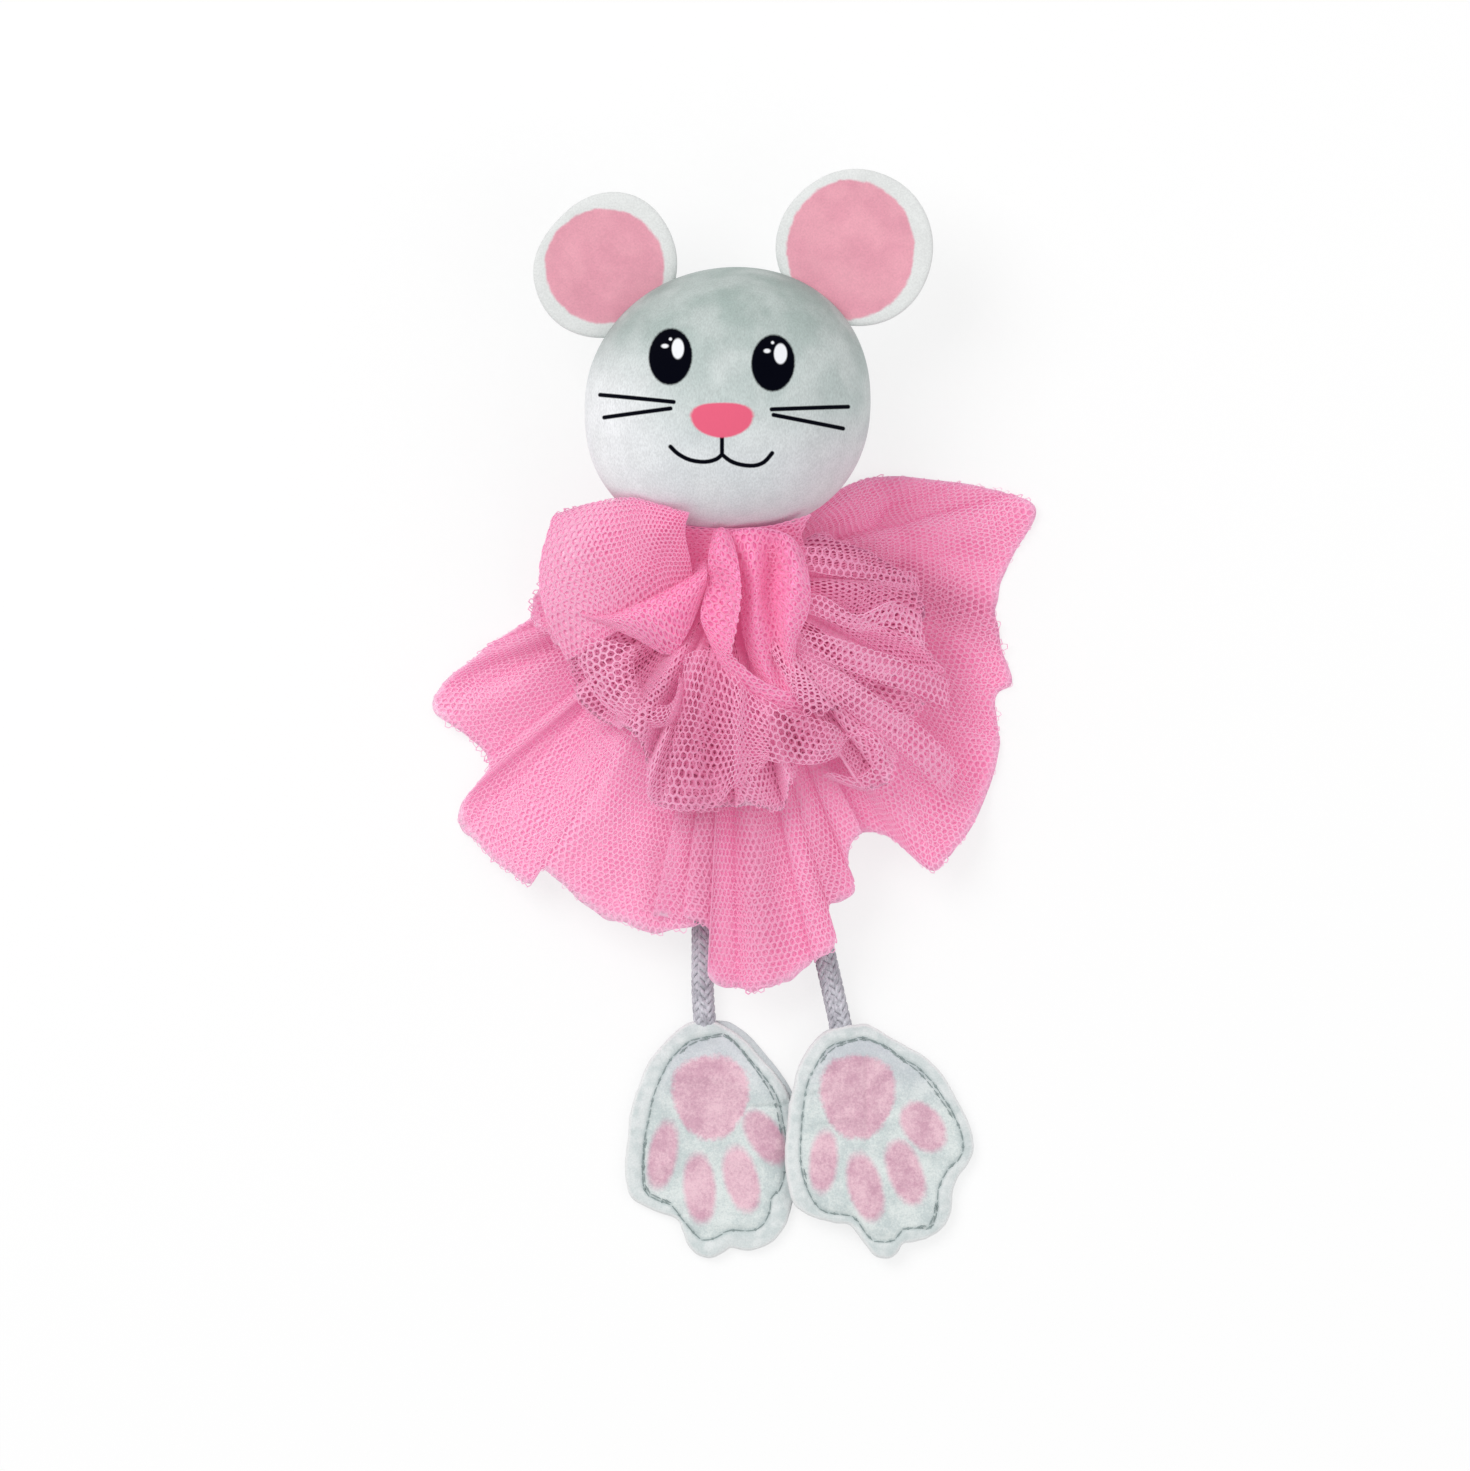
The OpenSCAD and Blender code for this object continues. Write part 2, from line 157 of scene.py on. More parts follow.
class Shader:
    """A material under construction, with short names for the nodes it uses most."""

    def __init__(self, name, roughness, sheen=0.0, sheen_roughness=0.5, specular=0.3):
        self.material = bpy.data.materials.new(name)
        self.material.use_nodes = True
        self.nodes, self.links = self.material.node_tree.nodes, self.material.node_tree.links
        self.surface = self.nodes["Principled BSDF"]
        self.surface.inputs["Roughness"].default_value = roughness
        self.surface.inputs["Sheen Weight"].default_value = sheen
        self.surface.inputs["Sheen Roughness"].default_value = sheen_roughness
        self.surface.inputs["Specular IOR Level"].default_value = specular
        self.place = self.nodes.new("ShaderNodeTexCoord").outputs["Object"]

    def put(self, value, socket):
        if isinstance(value, bpy.types.NodeSocket):
            self.links.new(value, socket)
        else:
            socket.default_value = value

    def math(self, operation, a, b=0.0, c=0.0):
        node = self.nodes.new("ShaderNodeMath")
        node.operation = operation
        for value, socket in zip((a, b, c), node.inputs):
            self.put(value, socket)
        return node.outputs[0]

    def hypot(self, a, b):
        """The length of a line that goes a one way and b square to it."""
        return self.math("SQRT", self.math("ADD", self.math("MULTIPLY", a, a), self.math("MULTIPLY", b, b)))

    def blend(self, a, share, b, other):
        """a times its share, plus b times the other."""
        return self.math("ADD", self.math("MULTIPLY", a, share), self.math("MULTIPLY", b, other))

    def mix(self, share, a, b):
        node = self.nodes.new("ShaderNodeMix")
        node.data_type = "RGBA"
        self.put(share, node.inputs["Factor"])
        for value, socket in ((a, node.inputs[6]), (b, node.inputs[7])):
            self.put((*value, 1) if isinstance(value, tuple) else value, socket)
        return node.outputs[2]

    def ramp(self, value, low, high, out_low=0.0, out_high=1.0, smooth=True):
        node = self.nodes.new("ShaderNodeMapRange")
        node.interpolation_type = "SMOOTHSTEP" if smooth else "LINEAR"
        self.put(value, node.inputs["Value"])
        ends = {"From Min": low, "From Max": high, "To Min": out_low, "To Max": out_high}
        for name, number in ends.items():
            self.put(number, node.inputs[name])
        return node.outputs["Result"]

    def noise(self, size_mm, detail=3.0, vector=None, stretch=(1, 1, 1)):
        """Noise whose features are about size_mm across, stretched along any axis."""
        node = self.nodes.new("ShaderNodeTexNoise")
        mapping = self.nodes.new("ShaderNodeMapping")
        mapping.vector_type = "POINT"
        mapping.inputs["Scale"].default_value = [1 / (size_mm * MM * s) for s in stretch]
        self.links.new(vector or self.place, mapping.inputs["Vector"])
        self.links.new(mapping.outputs[0], node.inputs["Vector"])
        node.inputs["Scale"].default_value = 1
        node.inputs["Detail"].default_value = detail
        return node.outputs["Fac"]

    def wobble(self, size_mm, detail, amount):
        """Noise about 0, half of amount either way at most."""
        return self.math("MULTIPLY", self.math("SUBTRACT", self.noise(size_mm, detail), 0.5), amount)

    def bump(self, height, distance_mm, strength=1.0):
        node = self.nodes.new("ShaderNodeBump")
        node.inputs["Strength"].default_value = strength
        node.inputs["Distance"].default_value = distance_mm * MM
        self.links.new(height, node.inputs["Height"])
        self.links.new(node.outputs[0], self.surface.inputs["Normal"])

    def flat(self, centre, turn_deg=0.0):
        """Plan coordinates in mm about a point, turned by turn_deg: outputs u and v."""
        mapping = self.nodes.new("ShaderNodeMapping")
        mapping.vector_type = "TEXTURE"
        mapping.inputs["Location"].default_value = [c * MM for c in centre]
        mapping.inputs["Rotation"].default_value = (0, 0, math.radians(turn_deg))
        mapping.inputs["Scale"].default_value = (MM, MM, MM)
        self.links.new(self.place, mapping.inputs["Vector"])
        split = self.nodes.new("ShaderNodeSeparateXYZ")
        self.links.new(mapping.outputs[0], split.inputs[0])
        return split.outputs[0], split.outputs[1]

    def ellipse(self, u, v, at, radii, turn=0.0, blur=0.12, power=2.0, wobble=None, taper=0.0):
        """1 inside an ellipse and 0 outside, with a soft edge of blur mm."""
        c, s = math.cos(math.radians(turn)), math.sin(math.radians(turn))
        du, dv = self.math("SUBTRACT", u, at[0]), self.math("SUBTRACT", v, at[1])
        a = self.math("ADD", self.math("MULTIPLY", du, c), self.math("MULTIPLY", dv, s))
        b = self.math("SUBTRACT", self.math("MULTIPLY", dv, c), self.math("MULTIPLY", du, s))
        if taper:
            a = self.math("DIVIDE", a, self.math("ADD", 1.0, self.math("MULTIPLY", b, taper / radii[1])))
        a = self.math("POWER", self.math("ABSOLUTE", self.math("DIVIDE", a, radii[0])), power)
        b = self.math("POWER", self.math("ABSOLUTE", self.math("DIVIDE", b, radii[1])), power)
        d = self.math("POWER", self.math("ADD", a, b), 1 / power)
        if wobble is not None:
            d = self.math("ADD", d, wobble)
        soft = blur / min(radii)
        return self.ramp(d, 1 - soft, 1 + soft, 1.0, 0.0)

    def stroke(self, u, v, points, width, blur=0.14):
        """1 on a line through some points and 0 off it."""
        near = None
        for (x0, y0), (x1, y1) in zip(points, points[1:]):
            dx, dy = float(x1 - x0), float(y1 - y0)
            x0, y0 = float(x0), float(y0)
            size = dx * dx + dy * dy
            pu, pv = self.math("SUBTRACT", u, x0), self.math("SUBTRACT", v, y0)
            t = self.blend(pu, dx / size, pv, dy / size)
            t = self.ramp(t, 0, 1, smooth=False)
            eu = self.math("SUBTRACT", pu, self.math("MULTIPLY", t, dx))
            ev = self.math("SUBTRACT", pv, self.math("MULTIPLY", t, dy))
            d = self.hypot(eu, ev)
            near = d if near is None else self.math("MINIMUM", near, d)
        return self.ramp(near, width / 2 - blur, width / 2 + blur, 1.0, 0.0)

    # emission: used on the nets as a painted glow, though they are no lamp
    def glow(self, value, strength):
        self.surface.inputs["Emission Color"].default_value = (*value, 1)
        self.surface.inputs["Emission Strength"].default_value = strength

    def cloth_map(self):
        """The piece's own cloth coordinates."""
        place = self.nodes.new("ShaderNodeUVMap")
        place.uv_map = CLOTH_MAP
        return place.outputs[0]

    def colour(self, value):
        self.put((*value, 1) if isinstance(value, tuple) else value, self.surface.inputs["Base Color"])


def srgb(red, green, blue):
    """A colour as it is seen, 0 to 255, as the linear values that the shader takes."""
    def linear(c):
        c /= 255
        return c / 12.92 if c <= 0.04045 else ((c + 0.055) / 1.055) ** 2.4
    return linear(red), linear(green), linear(blue)


# ---------------------------------------------------------------- mesh helpers

def new_piece(name, points_mm, faces, material, smooth=True, uv=None):
    """An object from points in millimetres and faces; uv, if given, is one pair for each point."""
    mesh = bpy.data.meshes.new(name)
    mesh.from_pydata(np.asarray(points_mm, float) * MM, [], faces)
    mesh.materials.append(material)
    if uv is not None:
        layer = mesh.uv_layers.new(name=CLOTH_MAP)
        loops = np.zeros(len(mesh.loops), np.int32)
        mesh.loops.foreach_get("vertex_index", loops)
        layer.data.foreach_set("uv", np.asarray(uv, np.float32)[loops].ravel())
    if smooth:
        mesh.polygons.foreach_set("use_smooth", [True] * len(mesh.polygons))
    mesh.validate()
    piece = bpy.data.objects.new(name, mesh)
    bpy.context.scene.collection.objects.link(piece)
    return piece


def grid_faces(rows, columns, around=False, start=0, flip=False):
    """Quads of a grid of rows by columns points, closed across the columns where it goes around."""
    i, j = np.meshgrid(np.arange(rows - 1), np.arange(columns if around else columns - 1), indexing="ij")
    k = (j + 1) % columns
    quads = np.stack([i * columns + j, i * columns + k, (i + 1) * columns + k, (i + 1) * columns + j], -1)
    quads = quads.reshape(-1, 4) + start
    return (quads[:, ::-1] if flip else quads).tolist()


def disc_faces(rings, columns, front):
    """Faces of a closed disc of two layers, each made of rings of points: the outer layer comes first."""
    total, last = rings * columns, (rings - 1) * columns
    faces = []
    for start, up in ((0, front), (total, not front)):
        faces += grid_faces(rings, columns, around=True, start=start, flip=up)
        cap = list(range(start, start + columns))
        faces.append(cap if up else cap[::-1])
    for j in range(columns):
        a, b = last + j, last + (j + 1) % columns
        faces.append([b, a, a + total, b + total] if front else [a, b, b + total, a + total])
    return faces


def settle(piece):
    """Applies a piece's modifiers, so that its mesh is final."""
    graph = bpy.context.evaluated_depsgraph_get()
    mesh = bpy.data.meshes.new_from_object(piece.evaluated_get(graph))
    piece.modifiers.clear()
    old = piece.data
    piece.data = mesh
    bpy.data.meshes.remove(old)
    return piece


def hashed(x, y=0.0, z=0.0):
    """A steady random number from 0 to 1 for each place."""
    return np.mod(np.sin(x * 12.9898 + y * 78.233 + z * 37.719) * 43758.5453, 1.0)


def waves(x, y, seed, octaves=3):
    """Smooth bumps from -1 to 1, as a sum of turned sine waves."""
    total = np.zeros(np.broadcast(x, y).shape)
    size = 0.0
    for k in range(octaves * 3):
        turn = 2.4 * k + seed
        pace = 1.9 ** (k // 3) * (0.8 + 0.4 * hashed(k + seed))
        share = 0.55 ** (k // 3)
        angle = pace * (x * math.cos(turn) + y * math.sin(turn)) + 5.1 * k + 1.7 * seed
        total = total + share * np.sin(angle)
        size += share
    return total / size * 1.6


def catmull(points, steps, closed=False):
    """A smooth curve through some points, with that many steps from each to the next."""
    p = np.asarray(points, float)
    n = len(p)
    t = (np.arange(steps) / steps)[:, None]
    out = []
    for i in range(n if closed else n - 1):
        a, b, c, d = (p[(i + k) % n] if closed else p[min(max(i + k, 0), n - 1)] for k in (-1, 0, 1, 2))
        out.append(0.5 * (2 * b + (c - a) * t + (2 * a - 5 * b + 4 * c - d) * t ** 2
                          + (3 * b - a - 3 * c + d) * t ** 3))
    if not closed:
        out.append(p[-1:])
    return np.concatenate(out)


def smoothstep(t):
    t = np.clip(t, 0, 1)
    return t * t * (3 - 2 * t)


# ---------------------------------------------------------------- finishes

VELOUR = srgb(195, 206, 204)
VELOUR_TOP = srgb(166, 182, 177)
VELOUR_PALE = srgb(224, 228, 231)
INK = srgb(3, 4, 15)
NOSE_PINK = srgb(236, 101, 131)
EAR_PINK = srgb(238, 168, 184)
# the pink of the nets' painted glow
PAINTED_GLOW_PINK = srgb(255, 156, 200)


def pile(shader, colour, amount=0.10, size=0.35, along=(1, 1, 1)):
    """Velour's nap: small tufts that lighten and darken the colour and roughen the surface."""
    fine = shader.noise(size, 2.0, stretch=along)
    broad = shader.noise(5.0, 3.0)
    shade = shader.blend(fine, 0.7, broad, 0.3)
    low, high = (1 - amount,) * 3, (1 + amount * 0.6,) * 3
    tint = shader.mix(shader.ramp(shade, 0.3, 0.7), low, high)
    node = shader.nodes.new("ShaderNodeMix")
    node.data_type = "RGBA"
    node.blend_type = "MULTIPLY"
    node.inputs["Factor"].default_value = 1
    shader.put((*colour, 1) if isinstance(colour, tuple) else colour, node.inputs[6])
    shader.links.new(tint, node.inputs[7])
    shader.bump(fine, 0.16, 0.6)
    return node.outputs[2]


# the printed face, in mm from the head's middle in plan
FACE_SHIFT = 0.3
EYE_RADII = (4.7, 6.15)
EYES = [(-12.7, 9.3), (9.4, 7.9)]
EYE_SHINES = [((-11.1, 11.0), (1.3, 2.2)), ((-13.9, 11.6), (0.75, 0.45)), ((-12.7, 13.1), (0.32, 0.32)),
              ((11.0, 9.9), (1.4, 2.2)), ((8.1, 10.5), (0.7, 0.45)), ((9.3, 12.3), (0.32, 0.32))]
NOSE = (-1.6, -3.9)
WHISKERS = [[(-27.9, 1.2), (-12.0, -0.5)],
            [(-27.0, -3.7), (-12.7, -1.9)],
            [(9.1, -2.1), (25.6, -1.4)],
            [(9.5, -3.3), (24.5, -6.1)]]
MOUTH = [[(-12.7, -10.1), (-11.0, -11.7), (-8.4, -13.0), (-5.2, -13.4), (-2.8, -12.8), (-1.6, -11.8)],
         [(-1.6, -11.8), (0.2, -13.2), (2.5, -14.0), (5.3, -14.2), (7.5, -13.4), (9.2, -11.5)]]
LIP_LINE = [(-1.6, -7.6), (-1.6, -11.9)]
LINE_WIDTH = 0.92


def face_finish():
    """Printed velour: a shaded face with eyes, nose, mouth and whiskers, turned a little to the right, with
    painted light on its left cheek and a painted pink reflection of the net low on its right.
    """
    s = Shader("printed velour", 0.95, sheen=0.12, sheen_roughness=0.6, specular=0.05)
    u, v = s.flat(HEAD + (FACE_SHIFT, 0, 0))
    wobble = s.wobble(0.5, 2.0, 0.05)
    cloth = s.mix(s.ramp(v, 0, 26), VELOUR, VELOUR_TOP)
    cloth = s.mix(s.ramp(v, 2, -16), cloth, VELOUR_PALE)
    # painted light: the left cheek is lightened almost to white, where the key light falls
    painted_light_left = s.math("MULTIPLY", s.ramp(u, -6, -29), s.ramp(v, 16, -2))
    cloth = s.mix(s.math("MULTIPLY", painted_light_left, 0.9), cloth, srgb(252, 252, 255))
    # painted reflection: pink light from the net, on the lower right of the face
    painted_pink_reflection = s.math("MULTIPLY", s.ramp(u, 6, 28), s.ramp(v, 0, -20))
    cloth = s.mix(s.math("MULTIPLY", painted_pink_reflection, 0.6), cloth, srgb(224, 204, 214))
    patches = s.ramp(s.noise(9.0, 2.0), 0.35, 0.7)
    cloth = s.mix(s.math("MULTIPLY", patches, 0.3), cloth, srgb(238, 240, 240))
    cloth = pile(s, cloth, 0.13, 0.45, along=(0.7, 1.6, 1))

    ink = None
    for line in [*WHISKERS, *(catmull(half, 3) for half in MOUTH), LIP_LINE]:
        mark = s.stroke(u, v, line, LINE_WIDTH)
        ink = mark if ink is None else s.math("MAXIMUM", ink, mark)
    for eye in EYES:
        ink = s.math("MAXIMUM", ink, s.ellipse(u, v, eye, EYE_RADII, -3, 0.25, wobble=wobble))
    cloth = s.mix(ink, cloth, INK)
    nose_top = s.ellipse(u, v, NOSE, (6.8, 3.2), 0, 0.25, 2.6, wobble)
    nose_low = s.ellipse(u, v, NOSE, (6.6, 4.3), 0, 0.25, 1.9, wobble)
    over = s.mix(s.ramp(v, NOSE[1], NOSE[1] + 0.1, smooth=False), (0, 0, 0), (1, 1, 1))
    nose = s.blend(nose_top, over, nose_low, s.math("SUBTRACT", 1.0, over))
    cloth = s.mix(nose, cloth, NOSE_PINK)
    shine = None
    for at, radii in EYE_SHINES:
        spot = s.ellipse(u, v, at, radii, 0, 0.18)
        shine = spot if shine is None else s.math("MAXIMUM", shine, spot)
    s.put(s.math("MULTIPLY", s.math("SUBTRACT", 1.0, ink), 0.12), s.surface.inputs["Sheen Weight"])
    s.colour(s.mix(shine, cloth, srgb(244, 246, 250)))
    return s.material


def velour_finish(name, colour, amount=0.09):
    """Velour, or another plain cloth or thread with a soft nap."""
    s = Shader(name, 0.9, sheen=0.25, sheen_roughness=0.6, specular=0.15)
    s.colour(pile(s, colour, amount))
    return s.material


# ---------------------------------------------------------------- cords

def cord_height(r):
    """Height of a leg cord's centre at a distance from the gather: it falls from the neck to the floor."""
    return CORD_LOW + (CORD_TOP - CORD_LOW) * np.maximum(1 - (r - NET_START) / CORD_REACH, 0) ** 1.5


def cord_path(side):
    """The line that a leg cord follows, from the gather to its end between the paw's two cloths."""
    routes = {
        "left": ([(-3, -8.5), (-3.5, -20.5), (-4.5, -35.5), (-5.5, -50.5), (-5.5, -65.5), (-5.5, -80.5),
                  (-5.5, -90.5)], 2.8),
        "right": ([(3, -8.5), (5.5, -20.5), (9.5, -35.5), (13.5, -50.5), (17, -65.5), (20.5, -80.5),
                   (23, -91.5)], 5.2)}
    route, end_height = routes[side]
    ends = ANKLE[side][:2] - GATHER[:2]
    plan = catmull([*route, ends, ends + (0.3, -4.5)], 24)
    r = np.hypot(plan[:, 0], plan[:, 1])
    z = cord_height(r) + (end_height - CORD_LOW) * np.minimum(r / CORD_REACH, 1) ** 3
    z -= 0.9 * smoothstep((r - r[-1] + 12) / 9)
    return np.column_stack([plan + GATHER[:2], z])


def lengths(line):
    """Distance along a line of points, from its start to each."""
    return np.concatenate([[0], np.cumsum(np.linalg.norm(np.diff(line, axis=0), axis=1))])


def resample(line, step):
    """The line divided evenly, in steps of about that size, and the distance of each point along it."""
    far = lengths(line)
    at = np.linspace(0, far[-1], max(int(round(far[-1] / step)), 2) + 1)
    return np.column_stack([np.interp(at, far, line[:, k]) for k in range(3)]), at


def tube(centre, side, up, wide, high, sides, start):
    """Points and faces of a capped tube whose section is an ellipse, about a line of centres."""
    turn = np.linspace(0, 2 * math.pi, sides, endpoint=False)
    wide, high = (np.broadcast_to(v, len(centre))[:, None, None] for v in (wide, high))
    points = (centre[:, None, :] + np.cos(turn)[None, :, None] * side[:, None, :] * wide
              + np.sin(turn)[None, :, None] * up[:, None, :] * high)
    faces = grid_faces(len(centre), sides, around=True, start=start)
    faces += [list(range(start + sides - 1, start - 1, -1)),
              list(range(start + (len(centre) - 1) * sides, start + len(centre) * sides))]
    return points.reshape(-1, 3), faces


def cord_finish():
    """Grey cotton, darker and lighter along its strands."""
    s = Shader("braided cotton", 0.85, sheen=0.3, specular=0.2)
    strands = s.noise(0.5, 2.0, stretch=(1, 2.5, 1))
    patches = s.noise(4.0, 2.0)
    tone = s.blend(strands, 0.6, patches, 0.4)
    s.colour(s.mix(s.ramp(tone, 0.3, 0.7), srgb(164, 163, 172), srgb(222, 221, 229)))
    s.bump(strands, 0.12, 0.6)
    return s.material


def make_cord(side, material):
    """A round braid of sixteen strands, pressed flat where it goes in between the paw's cloths."""
    path = cord_path(side)
    line, at = resample(path, 0.3)
    ahead = np.gradient(line, axis=0)
    ahead /= np.linalg.norm(ahead, axis=1)[:, None]
    across = np.cross(ahead, (0, 0, 1.0))
    across /= np.linalg.norm(across, axis=1)[:, None]
    up = np.cross(across, ahead)
    pressed = smoothstep((at - at[-1] + 8) / 7)
    wide, high = 1 + 0.15 * pressed, 1 - 0.62 * pressed
    strands, pitch = 16, 15.0
    points, faces, count = [], [], 0
    for k in range(strands):
        way = 1 if k % 2 else -1
        turn = way * 2 * math.pi * at / pitch + (k // 2) * math.pi / 4 + 0.2
        out = 2.0 + 0.17 * np.sin(4 * turn + way * math.pi / 2)
        centre = (line + (out * np.cos(turn) * wide)[:, None] * across
                  + (out * np.sin(turn) * high)[:, None] * up)
        radial = np.cos(turn)[:, None] * across + np.sin(turn)[:, None] * up
        lie = np.gradient(centre, axis=0)
        lie /= np.linalg.norm(lie, axis=1)[:, None]
        beside = np.cross(lie, radial)
        strand, rims = tube(centre, beside, radial, 0.62, 0.34 * high, 6, count)
        points.append(strand)
        faces += rims
        count += len(strand)
    core, rims = tube(line, across, up, 1.9 * wide, 1.9 * high, 16, count)
    points.append(core)
    faces += rims
    name = f"leg_braid_{side}"
    piece = new_piece(name, np.concatenate(points), faces, material)
    body = f"leg_{side}"
    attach(piece, body)
    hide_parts(f"leg_cord_{side}")


# ---------------------------------------------------------------- head

VELOUR_THICK = 1.4


def head_surface(around, along, grow=0.0):
    """The head's skin: around turns from the face about the neck's axis, along runs from chin to crown."""
    around, along = np.broadcast_arrays(around, along)
    jaw_power, crown_power = 2.3, 2.05
    share = 2 / np.where(along < 0, jaw_power, crown_power)
    girth = (HEAD_W / 2 + grow) * np.abs(np.cos(along)) ** share
    height = (HEAD_H / 2 + grow) * np.sign(along) * np.abs(np.sin(along)) ** share
    height = height + 0.05 * girth * np.sin(around)
    lumps = 0.3 * waves(2 * np.sin(around), height / 11, 3.0) * np.cos(along)
    seam = -0.6 * np.exp(-((np.abs(around) - math.pi / 2) * girth / 0.9) ** 2)
    girth = girth + (lumps + seam) * np.minimum(girth / 8, 1)
    z = np.maximum(HEAD[2] + girth * np.cos(around), HEAD_LOW[2] - min(grow, 0))
    return np.stack([HEAD[0] + girth * np.sin(around), HEAD[1] + height, z], -1)


def shell(outer, inner):
    """Points and faces of a closed skin between two grids of points."""
    rows, columns = outer.shape[:2]
    n = rows * columns
    faces = grid_faces(rows, columns) + grid_faces(rows, columns, start=n, flip=True)
    rim = np.concatenate([np.arange(columns), columns - 1 + columns * np.arange(1, rows),
                          (rows - 1) * columns + np.arange(columns - 2, -1, -1),
                          columns * np.arange(rows - 2, 0, -1)])
    faces += [[int(b), int(a), int(a + n), int(b + n)] for a, b in zip(rim, np.roll(rim, -1))]
    return np.concatenate([outer.reshape(-1, 3), inner.reshape(-1, 3)]), faces


def make_head():
    """The two panels of the head, sewn together round its outline."""
    for name, middle, material, nodes in (
            ("head_face_panel", 0.0, face_finish(), ["head_front"]),
            ("head_back_panel", math.pi, velour_finish("plain velour", VELOUR), ["head_back", "head_fill"])):
        around = middle + np.linspace(-math.pi / 2, math.pi / 2, 130)[None, :]
        around = np.where(around > math.pi + 1e-9, around - 2 * math.pi, around)
        along = np.linspace(-math.pi / 2 + 0.004, math.pi / 2 - 0.004, 100)[:, None]
        points, faces = shell(head_surface(around, along), head_surface(around, along, -VELOUR_THICK))
        piece = new_piece(name, points, faces, material)
        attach(piece, "head")
        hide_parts(*nodes)


# ---------------------------------------------------------------- ears

# each ear's width, its printed disc's offset and radii, its shift from the CAD ear, and where its edge
# is flattened: the middle and width of the flat in degrees, and its depth as a share of the radius
EARS = {"left": (31.5, (0.1, -0.5), (12.9, 12.4)), "right": (34.0, (-0.8, -0.6), (13.8, 15.0))}
EAR_SHIFT = {"left": (1.1, -0.2), "right": (0.6, 1.0)}
EAR_FLATS = {"left": [(138, 38, 0.13), (62, 30, -0.035), (232, 34, -0.04)],
             "right": [(136, 30, 0.03), (300, 30, -0.02)]}


def ear_centre(side):
    """The middle of an ear's disc, from the CAD ear's outer corner."""
    low, high = box_mm(f"ear_{side}_front", f"ear_{side}_back")
    r = EARS[side][0] / 2
    x = low[0] + r if side == "left" else high[0] - r
    return np.array([x + EAR_SHIFT[side][0], high[1] - r + EAR_SHIFT[side][1], (low[2] + high[2]) / 2])


def toward_head(side):
    """The direction in plan from an ear's middle to the head's."""
    way = HEAD[:2] - ear_centre(side)[:2]
    return way / np.linalg.norm(way)


def ear_finish(side):
    """Pale velour with a printed pink disc."""
    s = Shader(f"printed ear velour {side}", 0.9, sheen=0.3, sheen_roughness=0.6, specular=0.15)
    u, v = s.flat(ear_centre(side))
    _, offset, radii = EARS[side]
    mask = s.ellipse(u, v, offset, radii, 0, 0.35, wobble=s.wobble(2.2, 3.0, 0.09))
    pink = s.mix(s.ramp(s.noise(6.0, 2.0), 0.3, 0.7), EAR_PINK, srgb(230, 158, 176))
    s.colour(pile(s, s.mix(mask, srgb(230, 232, 231), pink), 0.08, 0.4))
    return s.material


def ear_panel(side, front):
    """One cloth of an ear: a disc with a rounded, slightly wavy edge, a little cupped."""
    centre = ear_centre(side)
    r = EARS[side][0] / 2
    seed = 1.0 if side == "left" else 4.0
    rings, columns = 34, 150
    share = (1 - (1 - np.linspace(0.02, 1, rings)) ** 1.4)[:, None]
    turn = np.linspace(0, 2 * math.pi, columns, endpoint=False)[None, :]
    edge = r * (1 + 0.012 * waves(np.cos(turn) * 2.6, np.sin(turn) * 2.6, seed, 3))
    for middle, wide, deep in EAR_FLATS[side]:
        away = np.mod(np.degrees(turn) - middle + 180, 360) - 180
        edge = edge - r * deep * np.exp(-(away / wide) ** 2)
    x, y = share * edge * np.cos(turn), share * edge * np.sin(turn)
    way = toward_head(side)
    tuck = smoothstep((x * way[0] + y * way[1]) / r)
    ripple = waves(np.cos(turn) * 1.4, np.sin(turn) * 1.4, seed + 7)
    cup = (1.3 * share ** 3 + 0.5 * share ** 2 * ripple) * (1 - tuck)
    rim = np.sqrt(np.maximum(1 - share ** 14, 0))
    sign = 1 if front else -1
    far = sign * (0.06 + 1.25 * rim + 0.18 * waves(x / 3, y / 3, seed + 2) * rim)
    near = np.broadcast_to(sign * 0.05, far.shape)
    points = [np.stack([centre[0] + x, centre[1] + y, centre[2] + cup + z], -1).reshape(-1, 3)
              for z in (far, near)]
    return np.concatenate(points), disc_faces(rings, columns, front)


def make_ears():
    """Two discs of cloth for each ear, the front one printed, both sewn into the head's seam."""
    back = velour_finish("ear back velour", srgb(226, 228, 228))
    for side in ("left", "right"):
        for front in (True, False):
            part = "front" if front else "back"
            points, faces = ear_panel(side, front)
            cloth = ear_finish(side) if front else back
            piece = new_piece(f"ear_cloth_{side}_{part}", points, faces, cloth)
            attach(piece, f"ear_{side}")
            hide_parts(f"ear_{side}_{part}")


# ---------------------------------------------------------------- net

def net_height(r, turn):
    """Lowest height of the net by distance and angle (degrees) from the gather: higher over the cords."""
    turn = np.where(turn > 90, turn - 360, turn)
    side = 24.2 * np.clip(1 - (r - NET_START) / 34, 0, 1) ** 1.4
    over = cord_height(r) + 4.3 + 2.0 * r / CORD_REACH
    share = smoothstep((turn + 134) / 14) * smoothstep((-38 - turn) / 14)
    return side * (1 - share) + np.maximum(over, side) * share


def net_puff(r):
    """How much of a tier's puff it has at a distance from the gather, from 0 to 1."""
    return smoothstep((r - NET_START) / 16) * (1 - 0.45 * smoothstep((r - 26) / 30))


